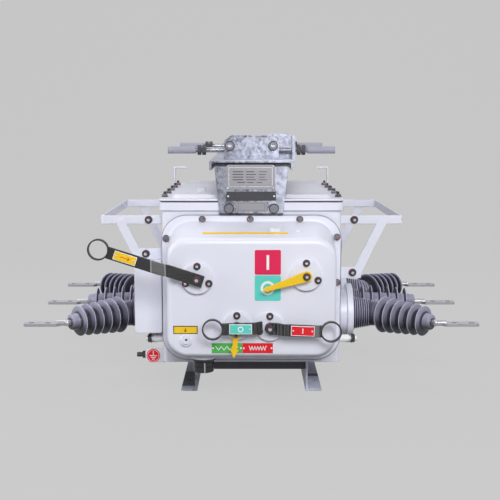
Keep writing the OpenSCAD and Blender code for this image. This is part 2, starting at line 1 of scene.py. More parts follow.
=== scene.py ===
"""Finishes, hardware, plates and stage for an outdoor vacuum circuit breaker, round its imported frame."""

import json
import math

import bmesh
import bpy
from bpy.props import FloatProperty, FloatVectorProperty, IntProperty, PointerProperty
from mathutils import Matrix, Vector


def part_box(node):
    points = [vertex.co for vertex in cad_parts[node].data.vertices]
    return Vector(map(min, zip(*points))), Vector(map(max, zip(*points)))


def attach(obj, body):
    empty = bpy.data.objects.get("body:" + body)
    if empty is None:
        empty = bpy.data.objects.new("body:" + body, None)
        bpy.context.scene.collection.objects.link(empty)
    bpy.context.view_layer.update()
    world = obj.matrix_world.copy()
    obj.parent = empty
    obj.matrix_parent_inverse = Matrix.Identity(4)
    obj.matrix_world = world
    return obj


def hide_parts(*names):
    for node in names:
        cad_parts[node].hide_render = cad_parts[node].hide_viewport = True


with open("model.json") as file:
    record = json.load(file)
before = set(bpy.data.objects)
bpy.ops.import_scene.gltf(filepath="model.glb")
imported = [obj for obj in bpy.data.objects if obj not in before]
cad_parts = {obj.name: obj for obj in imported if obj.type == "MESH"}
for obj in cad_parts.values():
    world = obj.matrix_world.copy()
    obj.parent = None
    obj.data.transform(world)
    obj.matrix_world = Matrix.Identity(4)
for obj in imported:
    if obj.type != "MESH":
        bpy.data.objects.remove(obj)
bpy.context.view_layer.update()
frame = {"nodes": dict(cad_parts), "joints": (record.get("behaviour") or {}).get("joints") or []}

bl_info = {
    "name": "Outdoor Circuit Breaker Dressing",
    "version": (1, 0, 0),
    "blender": (4, 5, 0),
    "location": "View3D > Sidebar > Breaker",
    "description": "Finishes, bolts, plates and stage for a pole-mounted vacuum circuit breaker",
    "category": "Object",
}

MM = 0.001
FIXED = "breaker"
SIDES = (-1, 1)
FRONT, MIDDLE, REAR = -1, 0, 1

PIVOTS = {joint["child"]: Vector(joint["pos_m"]) for joint in frame["joints"]}
TANK_LOW, TANK_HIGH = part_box("tank")
COVER_LOW, COVER_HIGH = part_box("mechanism_cover")
SOCKET_LOW, SOCKET_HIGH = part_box("cable_socket")
LUG_LOW, LUG_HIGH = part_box("earth_lug")
HOOK_LOW, HOOK_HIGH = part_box("lifting_hooks")
BUSHING_LOW, BUSHING_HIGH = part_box("bushing_right_middle")
BOSS_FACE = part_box("shaft_bosses")[0].y
PLATE_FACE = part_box("hanger_plates")[0].y
PLATE_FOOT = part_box("hanger_plates")[0].z
BEAM_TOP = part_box("hanger_beam")[1].z
TURRET_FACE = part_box("turrets_right")[1].x
STUD_Z = sum(corner.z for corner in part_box("wall_studs")) / 2
# The lid's edge lies 8 mm above the tank's top.
LID_TOP = TANK_HIGH.z + 0.008
MIDDLE_Y = (BUSHING_LOW.y + BUSHING_HIGH.y) / 2
PHASE_PITCH = 0.155
PHASE_Y = (MIDDLE_Y - PHASE_PITCH, MIDDLE_Y, MIDDLE_Y + PHASE_PITCH)
BUSHING_Z = (BUSHING_LOW.z + BUSHING_HIGH.z) / 2
TOWARDS_FRONT = (0, -1, 0)


def mm(*values):
    """A vector in metres from millimetres."""
    return Vector(values) * MM


def colour(name, description, default):
    """A colour property, in linear light."""
    return FloatVectorProperty(
        name=name, description=description, default=default, subtype="COLOR", size=3, min=0.0, max=1.0
    )


def length(name, description, default):
    """A length property, in metres."""
    return FloatProperty(
        name=name, description=description, default=default, unit="LENGTH", min=0.0, precision=4
    )


def power(name, description, default):
    """A lamp's power, in watts."""
    return FloatProperty(name=name, description=description, default=default, unit="POWER", min=0.0)


class PaintSettings(bpy.types.PropertyGroup):
    """Colours of the breaker's finishes."""

    enamel: colour("Enamel", "Bluish white powder coat on the tank", (0.735, 0.745, 0.845))
    zinc: colour("Zinc", "Hot-dip zinc on the hanger and rails", (0.40, 0.415, 0.50))
    silicone: colour("Silicone", "Grey rubber of the bushings", (0.280, 0.276, 0.376))
    seal: colour("Seal", "Rubber of the gaskets", (0.035, 0.036, 0.042))
    palm: colour("Palms", "Tinned copper of the terminals", (0.66, 0.65, 0.70))
    black: colour("Black", "Black paint on the lever and black printed marks", (0.018, 0.018, 0.021))
    steel: colour("Steel", "Bare steel of the lever and the handles", (0.18, 0.176, 0.18))
    bolt: colour("Bolts", "Plated steel of the bolts on the tank and the hanger", (0.22, 0.22, 0.245))
    thread: colour("Threads", "Bright steel of tie rods, stud ends and rivets", (0.62, 0.62, 0.66))
    sleeve: colour("Sleeves", "Grey plastic over the rod ends", (0.34, 0.34, 0.42))
    yellow: colour("Yellow", "Pointers and plates", (0.86, 0.55, 0.012))
    crimson: colour("Crimson", "Plate for the closed position", (0.70, 0.012, 0.085))
    turquoise: colour("Turquoise", "Plate for the open position", (0.105, 0.61, 0.535))
    green: colour("Green", "Plate for the spring at rest", (0.075, 0.42, 0.085))
    red: colour("Red", "Plate for the charged spring, earth disc and lid bolt marks", (0.72, 0.012, 0.022))
    oxide: colour("Oxide red", "Marks on the bolts of the cover, bosses and brackets", (0.26, 0.012, 0.022))
    white: colour("White", "Printed marks", (0.84, 0.84, 0.86))
    plate: colour("Plate metal", "Bare aluminium of the data plates", (0.30, 0.295, 0.32))


class HardwareSettings(bpy.types.PropertyGroup):
    """Sizes of bolts, welds and threads."""

    small_head: length("Small head", "Width across the flats of the M8 heads", 0.013)
    large_head: length("Large head", "Width across the flats of the M10 heads", 0.016)
    mark_width: length("Mark width", "Width of the red paint mark on a bolt", 0.0032)
    lid_pitch: length("Lid bolt pitch", "Distance between the bolts along the lid", 0.105)
    thread_pitch: length("Thread pitch", "Pitch of the tie rods' thread", 0.00175)
    bead: length("Weld bead", "Radius of the weld beads", 0.0028)
    edge: length("Edge radius", "Rounding of plain metal edges", 0.0011)
    turret_bolts: IntProperty(
        name="Turret bolts", description="Number of bolts round each turret's ring", default=8, min=3, max=16
    )


class PlateSettings(bpy.types.PropertyGroup):
    """Sizes of the label plates."""

    thickness: length("Thickness", "Thickness of a plate", 0.0011)
    corner: length("Corner", "Corner radius of a plate", 0.0035)
    ink: length("Ink", "How far a printed mark stands off its plate", 0.00018)
    rivet: length("Rivet", "Radius of a plate's rivets", 0.0021)


class BushingSettings(bpy.types.PropertyGroup):
    """Shape of the silicone bushings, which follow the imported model."""

    rim: length("Rim radius", "Rounding of the sheds' rims", 0.0012)
    fillet: length("Root fillet", "Fillet between shed and core", 0.0018)
    bend: length("Bend radius", "Radius of the bend in the outer bushings", 0.037)
    segments: IntProperty(name="Segments", description="Steps round a bushing", default=72, min=24, max=128)


class StageSettings(bpy.types.PropertyGroup):
    """Camera, lamps and floor."""

    lens: FloatProperty(
        name="Lens", description="Focal length in millimetres", default=68.4, min=20.0, max=200.0
    )
    eye: FloatVectorProperty(
        name="Eye", description="Place of the camera", default=(-0.0033, -2.4513, 0.6303), subtype="XYZ",
        unit="LENGTH",
    )
    pitch: FloatProperty(
        name="Pitch", description="How far the camera looks down", default=math.radians(7.676),
        subtype="ANGLE",
    )
    backdrop: colour("Backdrop", "Grey of the floor and the backdrop", (0.640, 0.640, 0.642))
    ambient: FloatProperty(
        name="Ambient", description="Strength of the light from all round", default=0.15, min=0.0
    )
    key: power("Key", "Power of the large lamp overhead", 23.0)
    front: power("Front", "Power of the lamp at the front", 66.0)
    low: power("Low", "Power of the low lamp", 2.0)
    side: power("Side", "Power of the lamps at the sides", 18.0)


class Sock:
    """A socket in a material that takes part in Python sums: each sum adds the Math node that it needs."""

    def __init__(self, shader, socket):
        self.shader = shader
        self.socket = socket

    def math(self, operation, *values):
        return self.shader.make("ShaderNodeMath", {"operation": operation}, dict(enumerate(values)))

    def __add__(self, other):
        return self.math("ADD", self, other)

    def __radd__(self, other):
        return self.math("ADD", other, self)

    def __sub__(self, other):
        return self.math("SUBTRACT", self, other)

    def __rsub__(self, other):
        return self.math("SUBTRACT", other, self)

    def __mul__(self, other):
        return self.math("MULTIPLY", self, other)

    def __rmul__(self, other):
        return self.math("MULTIPLY", other, self)

    def sine(self):
        return self.math("SINE", self)


class Shader:
    """One material and its Principled shader, with the few nodes that its finish is made of."""

    def __init__(self, name):
        self.material = bpy.data.materials.new(f"{name}_finish")
        self.material.use_nodes = True
        self.tree = self.material.node_tree
        self.tree.nodes.clear()
        self.surface = self.tree.nodes.new("ShaderNodeBsdfPrincipled")
        self.output = self.tree.nodes.new("ShaderNodeOutputMaterial")
        self.tree.links.new(self.surface.outputs[0], self.output.inputs["Surface"])

    def make(self, kind, settings, sockets, out=0):
        """Adds a node: its settings first, then the values or links of its sockets. Returns one output."""
        node = self.tree.nodes.new(kind)
        for name, value in settings.items():
            setattr(node, name, value)
        for name, value in sockets.items():
            self.feed(node.inputs[name], value)
        return Sock(self, node.outputs[out])

    def feed(self, socket, value):
        """Links a socket to another, or sets its value."""
        if isinstance(value, Sock):
            self.tree.links.new(value.socket, socket)
        elif socket.type == "RGBA" and len(value) == 3:
            socket.default_value = (*value, 1.0)
        else:
            socket.default_value = value

    def place(self, stretch=(1.0, 1.0, 1.0)):
        """Where a point lies on the object, in metres, stretched along each axis."""
        where = self.make("ShaderNodeTexCoord", {}, {}, "Object")
        return self.make("ShaderNodeVectorMath", {"operation": "MULTIPLY"}, {0: where, 1: stretch})

    def along(self, axis):
        """How far a point lies along an axis, in metres."""
        return self.make("ShaderNodeSeparateXYZ", {}, {"Vector": self.place()}, axis)

    def noise(self, scale, detail=3.0, rough=0.55, stretch=(1.0, 1.0, 1.0)):
        """Soft noise from 0 to 1."""
        return self.make(
            "ShaderNodeTexNoise", {},
            {"Vector": self.place(stretch), "Scale": scale, "Detail": detail, "Roughness": rough}, "Fac",
        )

    def cells(self, scale):
        """Crystal cells, each with its own shade from 0 to 1."""
        where = {"Vector": self.place(), "Scale": scale}
        color = self.make("ShaderNodeTexVoronoi", {"feature": "F1"}, where, "Color")
        return self.make("ShaderNodeSeparateColor", {}, {"Color": color})

    def step(self, value, low, high):
        """Smooth step of a value from 0 at low to 1 at high."""
        return self.make(
            "ShaderNodeMapRange", {"interpolation_type": "SMOOTHSTEP", "clamp": True},
            {"Value": value, "From Min": low, "From Max": high},
        )

    def band(self, value, low, high, soft):
        """1 between two bounds, with soft borders."""
        return self.step(value, low, low + soft) * self.step(value, high, high - soft)

    def blend(self, share, first, second):
        """Mixes two colours."""
        return self.make("ShaderNodeMix", {"data_type": "RGBA"}, {0: share, 6: first, 7: second}, 2)

    def layers(self, base, tint, *coats):
        """Lays shades of a tint over a base. Each coat is where it lies and how light it is."""
        for share, factor in coats:
            base = self.blend(share, base, shade(tint, factor))
        return base

    def edges(self, radius):
        """1 along edges and 0 on flat faces, from how far the rounded normal leans from the true one."""
        soft = self.make("ShaderNodeBevel", {"samples": 4}, {"Radius": radius})
        true = self.make("ShaderNodeNewGeometry", {}, {}, "Normal")
        lean = self.make("ShaderNodeVectorMath", {"operation": "DOT_PRODUCT"}, {0: soft, 1: true}, "Value")
        return self.step(1.0 - lean, 0.01, 0.22)

    def upward(self, none=0.15, full=0.95):
        """1 on faces that look up and 0 on upright ones. Negative bounds find faces that look down."""
        true = self.make("ShaderNodeNewGeometry", {}, {}, "Normal")
        up = self.make("ShaderNodeSeparateXYZ", {}, {"Vector": true}, "Z")
        return self.step(up, none, full)

    def finish(self, color, roughness, metallic=0.0, height=None, depth=0.0, fixed=()):
        """Feeds the Principled shader and returns the material. Height is a bump, depth metres tall."""
        shader = self.surface.inputs
        self.feed(shader["Base Color"], color)
        self.feed(shader["Roughness"], roughness)
        self.feed(shader["Metallic"], metallic)
        for name, value in fixed:
            shader[name].default_value = value
        if height is not None:
            bump = self.make("ShaderNodeBump", {}, {"Height": height, "Distance": depth, "Strength": 1.0})
            self.feed(shader["Normal"], bump)
        return self.material


def shade(color, factor):
    """A colour made lighter or darker in Python."""
    return tuple(min(1.0, part * factor) for part in color)


def enamel(paint):
    """Powder coat: orange peel, faint mottling, dust on what looks up and painted shade on what looks down.
    """
    sh = Shader("enamel")
    dust = sh.noise(38.0, 5.0, 0.7) * sh.upward() * 0.35
    # Painted shade on faces that look down, mottled.
    underside_shade = sh.upward(-0.12, -0.65) * (0.45 + sh.noise(30.0, 4.0) * 0.5)
    base = sh.blend(sh.noise(7.0, 4.0), shade(paint.enamel, 0.955), shade(paint.enamel, 1.03))
    base = sh.layers(base, paint.enamel, (dust, 0.90), (sh.edges(0.0016) * 0.35, 1.12), (underside_shade, 0.22))
    peel = sh.noise(520.0, 2.0, 0.4) + sh.noise(1400.0, 1.0) * 0.35
    rough = 0.30 + sh.noise(60.0, 3.0) * 0.12 + dust * 0.4
    coat = (("Coat Weight", 0.12), ("Coat Roughness", 0.18))
    return sh.finish(base, rough, height=peel, depth=0.00010, fixed=coat)


# Zinc below this height is the foot rails; the painted shadow under the beam's lip lies within this distance
# of the beam's middle.
RAIL_LEVEL, LIP_SHADOW_HALF = 0.06, 0.0885


def zinc(paint):
    """Hot-dip zinc: crystal cells and cloudy runs, with painted light: lighter faces that look up, a darker
    left and lighter right side, painted highlights on the edges, and painted shadows under the beam's lip,
    along the hanger plates' foot and on the foot rails.
    """
    sh = Shader("zinc")
    x, y, z = (sh.along(axis) for axis in "XYZ")
    spangle = sh.cells(150.0)
    cloud = sh.step(sh.noise(120.0, 6.0, 0.70), 0.36, 0.64)
    runs = sh.step(sh.noise(24.0, 5.0, 0.62, (1.0, 1.0, 0.5)), 0.44, 0.68)
    # Painted shadow under the beam's lip.
    under_lip = sh.band(z, BEAM_TOP - 0.0140, BEAM_TOP - 0.0032, 0.0015)
    lip_shadow = under_lip * sh.band(x, -LIP_SHADOW_HALF, LIP_SHADOW_HALF, 0.001)
    # Painted shadow along the foot of the hanger plates.
    plate_foot_shadow = sh.band(z, PLATE_FOOT - 0.001, PLATE_FOOT + 0.0045, 0.0008)
    rail = sh.step(z, RAIL_LEVEL + 0.02, RAIL_LEVEL)
    # Painted shadow of the tank on the foot rails.
    left_rail_shadow = sh.band(y, -0.250, -0.105, 0.012) * sh.step(x, -0.05, -0.10)
    right_rail_shadow = sh.band(y, -0.160, -0.125, 0.010) * sh.step(x, 0.05, 0.10)
    base = sh.blend(spangle * 0.30 + cloud * 0.70, shade(paint.zinc, 0.16), shade(paint.zinc, 1.25))
    # Painted light: faces that look up are lighter, the left side is darker and the right lighter, and the
    # edges carry painted highlights.
    base = sh.layers(
        base, paint.zinc, (runs * 0.50, 1.55), (sh.upward() * 0.75, 1.85),
        (sh.step(x, 0.0, -0.07) * 0.45, 0.30), (sh.step(x, 0.03, 0.075) * 0.40, 1.70),
        (sh.edges(0.0014) * 0.6, 2.0), (lip_shadow * 0.88, 0.05), (plate_foot_shadow * 0.80, 0.06),
        ((left_rail_shadow + right_rail_shadow) * rail * 0.85, 0.07),
    )
    rough = 0.56 - cloud * 0.20 + spangle * 0.10 + runs * 0.08
    metal = (0.72 - runs * 0.40) * (1.0 - rail * 0.75)
    return sh.finish(base, rough, metal, spangle * 0.35 + sh.noise(210.0, 3.0), 0.00022)


def silicone(paint):
    """Moulded silicone rubber: pale dust, painted highlights on the rims, and painted shade on what looks
    down, between the sheds and on their lower half.
    """
    sh = Shader("silicone")
    tone = sh.noise(46.0, 4.0, 0.6)
    dust = sh.upward() * (0.25 + sh.noise(120.0, 4.0) * 0.5)
    deep = sh.make("ShaderNodeAttribute", {"attribute_name": DEPTH}, {}, "Fac")
    # Painted shade on the lower half of the outward faces.
    below = sh.step(sh.along("Z"), BUSHING_Z + 0.012, BUSHING_Z - 0.020) * sh.step(deep, 0.04, 0.20)
    base = sh.blend(tone, shade(paint.silicone, 0.82), shade(paint.silicone, 1.18))
    # Painted shade on what looks down and deep between the sheds; painted highlights on the rims.
    base = sh.layers(
        base, paint.silicone, (dust * 0.30, 1.9), (sh.upward(-0.05, -0.75) * 0.80, 0.15),
        (sh.step(deep, 0.36, 0.85) * 0.94, 0.05), (below * 0.90, 0.05),
        (sh.step(deep, 0.16, 0.0) * 0.75, 2.2),
    )
    rough = 0.30 + tone * 0.14 + dust * 0.15
    return sh.finish(base, rough, height=sh.noise(900.0, 2.0), depth=0.00008)


def seal(paint):
    """Pressed rubber of the gaskets."""
    sh = Shader("seal")
    grain = sh.noise(240.0, 4.0, 0.7)
    base = sh.blend(grain, shade(paint.seal, 0.7), shade(paint.seal, 1.9))
    return sh.finish(base, 0.62 + grain * 0.22, height=grain, depth=0.0002)


def brushed(name, tint, stretch, tone, rough, worn, metal=1.0, sides=1.0):
    """Metal with fine lines along one direction and brighter edges. Its upright sides can be painted darker,
    a painted shade.
    """
    sh = Shader(name)
    lines = sh.noise(260.0, 3.0, 0.7, stretch)
    smear = sh.noise(40.0, 4.0, 0.6)
    base = sh.blend(lines * 0.65 + smear * 0.35, shade(tint, tone[0]), shade(tint, tone[1]))
    base = sh.layers(base, tint, (sh.edges(0.0010) * worn, 1.6))
    # Painted shade on the upright sides.
    if sides < 1.0:
        base = sh.layers(base, tint, (sh.upward(0.65, 0.15), sides))
    return sh.finish(base, rough[0] + lines * rough[1] + smear * 0.10, metal, lines, 0.00005)


def palm(paint):
    """Tinned copper of the terminals, with painted shade on their upright sides."""
    return brushed("palm", paint.palm, (0.06, 1.0, 1.0), (0.90, 1.05), (0.28, 0.12), 0.35, 0.75, 0.68)


def thread(paint):
    """Bright plated steel of rods, stud ends and rivets."""
    return brushed("thread", paint.thread, (0.2, 1.0, 1.0), (0.80, 1.15), (0.14, 0.20), 0.5)


def socket_alloy(paint):
    """Turned alloy of the cable socket."""
    tint = shade(paint.thread, 0.13)
    return brushed("socket_alloy", tint, (0.15, 0.15, 2.4), (0.40, 1.20), (0.12, 0.12), 0.8)


def bolt_steel(paint):
    """Plated steel of the bolts on the tank and the hanger."""
    return brushed("bolt_steel", paint.bolt, (1.0, 1.0, 1.0), (0.55, 1.30), (0.22, 0.24), 0.6, 0.95)


def blackened(paint):
    """Blackened steel of dark bolts, nuts, washers and the rails' crossbars."""
    tint = shade(paint.black, 3.2)
    return brushed("blackened", tint, (1.0, 1.0, 1.0), (0.6, 1.6), (0.36, 0.24), 0.5, 0.75)


# Where the charging lever is bent, along X.
LEVER_BENDS = (-0.2150, -0.1855)


def lever_steel(paint):
    """The charging lever: black paint on its outer part, and brushed steel from the bend inwards, with a
    painted highlight along each bend and the part between the bends painted lighter than the inner part,
    where it faces the light.
    """
    sh = Shader("lever_steel")
    outer_bend, inner_bend = LEVER_BENDS
    x = sh.along("X")
    lines = sh.noise(300.0, 3.0, 0.7, (0.05, 1.0, 1.0))
    chips = sh.step(sh.noise(170.0, 5.0, 0.7), 0.62, 0.70)
    bare = sh.step(x + sh.noise(60.0, 4.0) * 0.004, outer_bend - 0.0005, outer_bend + 0.0015)
    bent = bare * sh.step(x, inner_bend + 0.002, inner_bend)
    inner = sh.blend(lines, shade(paint.steel, 0.16), shade(paint.steel, 0.55))
    # Painted light: the part between the bends is lighter than the inner part, where it faces the light.
    middle = sh.blend(lines, shade(paint.steel, 0.62), shade(paint.steel, 1.20))
    painted = sh.blend(chips * 0.5, paint.black, shade(paint.black, 3.0))
    base = sh.blend(bare, painted, sh.blend(bent, inner, middle))
    # A painted highlight along each bend.
    bend_highlights = [(sh.band(x, bend - 0.0016, bend + 0.0016, 0.001) * 0.85, 2.4) for bend in LEVER_BENDS]
    base = sh.layers(base, paint.steel, *bend_highlights, (sh.edges(0.0011) * (0.25 + bare * 0.6), 1.9))
    rough = 0.30 + lines * 0.18 + chips * 0.1
    return sh.finish(base, rough, bare * 0.9, lines * bare + sh.noise(500.0) * 0.5, 0.00006)


# The closing handle's creases are 7.7 mm apart.
CREASE_TURNS = 2 * math.pi / 0.0077


def handle_steel(paint):
    """The pull handles: dark brushed steel, creased where one is bent with the creases' ridges painted
    lighter as a painted highlight, and paler near its ring.
    """
    sh = Shader("handle_steel")
    x = sh.along("X")
    lines = sh.noise(280.0, 3.0, 0.7, (0.05, 1.0, 1.0))
    smear = sh.step(sh.noise(38.0, 4.0, 0.6, (2.2, 1.0, 0.4)), 0.40, 0.62)
    creased = sh.step(x, 0.044, 0.048) * sh.step(x, 0.084, 0.078)
    pale = sh.step(x, 0.128, 0.138) * sh.step(x, 0.151, 0.143)
    ripple = (x * CREASE_TURNS).sine() * creased
    base = sh.blend(lines * 0.5 + smear * 0.5, shade(paint.steel, 0.14), shade(paint.steel, 0.66))
    # The ripple's colour is a painted highlight on the creases' ridges; its bump is real.
    base = sh.layers(
        base, paint.steel, (sh.step(ripple, 0.2, 1.0) * 0.55, 1.1), (pale * 0.5, 2.0),
        (sh.edges(0.0011) * 0.6, 1.8),
    )
    return sh.finish(base, 0.24 + lines * 0.20, 0.92, lines * 0.1 + ripple, 0.0006)


def paint_coat(name, tint):
    """Sprayed or printed paint: faint speckle, soft mottling and paler edges."""
    sh = Shader(name)
    speckle = sh.noise(420.0, 3.0, 0.6)
    base = sh.blend(sh.noise(28.0, 4.0), shade(tint, 0.90), shade(tint, 1.08))
    base = sh.layers(base, tint, (sh.edges(0.0008) * 0.3, 1.25))
    return sh.finish(base, 0.46 + speckle * 0.12, 0.0, speckle, 0.00006, (("Specular IOR Level", 0.3),))


def plate_metal(paint):
    """Etched aluminium of the data plates."""
    return brushed("plate_metal", paint.plate, (0.05, 1.0, 1.0), (0.82, 1.12), (0.30, 0.20), 0.4, 0.85)


def sleeve(paint):
    """Grey plastic of the rod sleeves, and of the bead round the cover's flange that stands in for the shadow
    there.
    """
    return paint_coat("sleeve", paint.sleeve)


def marks(name):
    """A maker for a paint that takes its colour from the setting of the same name."""
    return lambda paint: paint_coat(name, tuple(getattr(paint, name)))


PRINTS = ("yellow", "crimson", "turquoise", "green", "red", "oxide", "white", "black")
FINISHES = {
    make.__name__: make
    for make in (
        enamel, zinc, silicone, seal, palm, thread, socket_alloy, bolt_steel, blackened, lever_steel,
        handle_steel, plate_metal, sleeve,
    )
}
FINISHES.update({name: marks(name) for name in PRINTS})


def finish(name):
    """The material of that name, made on first use."""
    return bpy.data.materials.get(f"{name}_finish") or FINISHES[name](bpy.context.scene.breaker_paint)


SLOTS = {
    "enamel": "white_paint", "zinc": "galvanised", "silicone": "silicone", "seal": "seal_rubber",
    "palm": "tinned_copper", "thread": "plated_steel", "socket_alloy": "socket_alloy",
    "bolt_steel": "plated_steel", "blackened": "black_steel", "lever_steel": "black_steel",
    "handle_steel": "black_steel", "plate_metal": "plated_steel", "sleeve": "sleeve_plastic",
    "yellow": "signal_yellow", "white": "white_plastic",
}


def polar(radius, angle):
    """A point on a circle."""
    return radius * math.cos(angle), radius * math.sin(angle)


def turns(count, start=0.0):
    """Evenly spaced angles all round."""
    return [2 * math.pi * (i + start) / count for i in range(count)]


class Form:
    """A mesh under construction. Shapes are drawn in a local frame and placed by a matrix."""

    def __init__(self):
        self.bm = bmesh.new()

    def ring(self, points, place):
        return [self.bm.verts.new(place @ Vector(point)) for point in points]

    def skin(self, rings, material=0, caps=True):
        """Joins rings of vertices with quads, and closes the ends."""
        made = []
        for low, high in zip(rings, rings[1:]):
            for i in range(len(low)):
                j = (i + 1) % len(low)
                made.append(self.bm.faces.new((low[i], low[j], high[j], high[i])))
        if caps:
            made.append(self.bm.faces.new(list(reversed(rings[0]))))
            made.append(self.bm.faces.new(rings[-1]))
        for face in made:
            face.material_index = material

    def lathe(self, profile, place, segments=32, material=0):
        """A solid of revolution about the local Z axis, from (radius, height) points."""
        rings = [self.ring([(*polar(r, a), h) for a in turns(segments)], place) for r, h in profile]
        self.skin(rings, material)

    def slab(self, outline, inner, place, low, high, edge, material=0):
        """A flat plate: outline at its foot, inner as the outline of its rounded top edge."""
        rows = ((outline, low), (outline, high - edge), (inner, high))
        self.skin([self.ring([(x, y, z) for x, y in line], place) for line, z in rows], material)

    def hexagon(self, across, low, high, place, material=0, steps=8):
        """A hexagon head or nut whose upper corners are turned off to a cone."""
        flat, sixth = across / 2, math.pi / 3
        top = flat * 0.95
        drop = math.tan(math.radians(30))
        around = [(a, flat / math.cos((a + sixth / 2) % sixth - sixth / 2)) for a in turns(6 * steps)]
        rings = [
            self.ring([(*polar(r, a), low) for a, r in around], place),
            self.ring([(*polar(r, a), high - (r - top) * drop) for a, r in around], place),
            self.ring([(*polar(top, a), high) for a, _ in around], place),
        ]
        self.skin(rings, material)

    def box(self, low, high, place, material=0):
        """A thin block from one corner to the other."""
        (x0, y0, z0), (x1, y1, z1) = low, high
        corners = ((x0, y0), (x1, y0), (x1, y1), (x0, y1))
        self.skin([self.ring([(x, y, z) for x, y in corners], place) for z in (z0, z1)], material)

    def tube(self, path, radii, closed=False, sides=8):
        """A tube along a path, with a radius at each point."""
        rings = []
        count = len(path)
        for i, (point, radius) in enumerate(zip(path, radii)):
            after = path[(i + 1) % count] if closed or i + 1 < count else point
            before = path[i - 1] if closed or i else point
            turn = (after - before).normalized().to_track_quat("Z", "Y").to_matrix().to_4x4()
            place = Matrix.Translation(point) @ turn
            rings.append(self.ring([(*polar(radius, a), 0) for a in turns(sides)], place))
        self.skin(rings + rings[:1] if closed else rings, caps=not closed)

    def piece(self, name, materials, body=FIXED, smooth=math.radians(28), replaces=()):
        """Makes the object, gives it its finishes and lets it ride on a body."""
        bmesh.ops.recalc_face_normals(self.bm, faces=self.bm.faces)
        mesh = bpy.data.meshes.new(name)
        self.bm.to_mesh(mesh)
        self.bm.free()
        mesh.shade_smooth()
        mesh.set_sharp_from_angle(angle=smooth)
        for material in materials:
            mesh.materials.append(finish(material))
        made = bpy.data.objects.new(name, mesh)
        bpy.context.scene.collection.objects.link(made)
        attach(made, body)
        materials[0] in SLOTS
        if replaces:
            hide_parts(*replaces)


def facing(at, out, up=Vector((0, 0, 1))):
    """A frame at a point: local Z looks out, local Y is as near to up as it can be."""
    z = Vector(out).normalized()
    if abs(z.dot(up)) > 0.99:
        up = Vector((0, 1, 0))
    x = Vector(up).cross(z).normalized()
    y = z.cross(x)
    turn = Matrix((x, y, z)).transposed().to_4x4()
    return Matrix.Translation(at) @ turn


def turned(place, angle):
    """A frame turned about its own Z axis."""
    return place @ Matrix.Rotation(angle, 4, "Z")


def rounded(width, height, radius, steps=6):
    """Outline of a rectangle with round corners."""
    points = []
    for quarter, (sx, sy) in enumerate(((1, 1), (-1, 1), (-1, -1), (1, -1))):
        for i in range(steps + 1):
            x, y = polar(radius, math.pi / 2 * (quarter + i / steps))
            points.append((sx * (width / 2 - radius) + x, sy * (height / 2 - radius) + y))
    return points


def bolt(form, at, out, across, mark=None, washer=True, stud=0.0, turn=0.0, bright=0, ring=0):
    """A hexagon bolt with its washers, and a red paint mark that runs from the head to the washer."""
    place = turned(facing(at, out), turn)
    hub, washer_r, washer_t = 0.0005, across * 0.62, across * 0.09
    head = washer_t
    if washer:
        soft, split_r, head = washer_t * 0.3, across * 0.52, washer_t * 1.9
        edge = ((washer_r, 0), (washer_r, washer_t - soft), (washer_r - soft, washer_t))
        form.lathe(((hub, 0), *edge, (hub, washer_t)), place, 32, ring)
        split = ((split_r / 2, washer_t), (split_r, washer_t), (split_r, head), (split_r / 2, head))
        form.lathe(split, place, 32, ring)
    top = head + across * 0.30
    form.hexagon(across, head, top, place)
    if stud:
        shank, end = across * (0.23 if bright else 0.28), top + stud
        form.lathe(((shank, top - 0.001), (shank, end - 0.0008), (shank * 0.75, end)), place, 20, bright)
    if mark is not None:
        half, skin, edge = bpy.context.scene.breaker_hardware.mark_width / 2, 0.00025, across / 2
        spoke = turned(place, mark)
        form.box((across * 0.16, -half, top - skin), (edge * 0.97, half, top + skin), spoke, 1)
        form.box((edge * 0.95, -half, head), (edge * 1.03, half, top - across * 0.02), spoke, 1)
        if washer:
            form.box((edge, -half, washer_t - skin), (washer_r, half, washer_t + skin), spoke, 1)


def rivet(form, at, out, radius, material=0):
    """A domed rivet head."""
    dome = [(radius * math.cos(a), radius * 0.55 * math.sin(a)) for a in (0, 0.35, 0.7, 1.05, 1.35)]
    form.lathe(dome, facing(at, out), 14, material)


def bead(form, path, radius, closed=False):
    """A weld bead with its ripples along a path."""
    form.tube(path, [radius * (0.86 + 0.14 * abs(math.sin(i * 1.05))) for i in range(len(path))], closed)


def straight(first, last, spacing=0.0016):
    """Evenly spaced points from one place to another."""
    first, last = Vector(first), Vector(last)
    count = max(2, int((last - first).length / spacing))
    return [first.lerp(last, i / count) for i in range(count + 1)]


class PieceOperator(bpy.types.Operator):
    """Shared settings of the operators that make pieces."""

    bl_options = {"REGISTER", "UNDO"}


NODE_FINISHES = {
    "enamel": (
        "tank", "lid", "side_box", "side_box_cover", "turrets_left", "turrets_right", "bracket_left",
        "bracket_right", "bracket_braces", "lifting_hooks", "earth_lug",
    ),
    "seal": ("lid_gasket", "cover_gasket"),
    "palm": tuple(
        f"terminal_{side}_{row}" for side in ("left", "right") for row in ("front", "middle", "rear")
    ),
    "zinc": (
        "hanger_beam", "hanger_plates", "clamp_plates", "rod_brackets", "foot_rail_left", "foot_rail_right",
    ),
    "blackened": ("foot_crossbars", "rod_nuts"),
    "sleeve": ("rod_sleeves",),
    "white": ("wall_studs",),
    "lever_steel": ("charging_lever",),
    "handle_steel": ("opening_handle", "closing_handle"),
    "yellow": ("position_pointer", "energy_arrow"),
}
SOFT_NODES = ("turrets_left", "turrets_right", "rod_sleeves", "wall_studs", "cover_gasket", "lid_gasket")


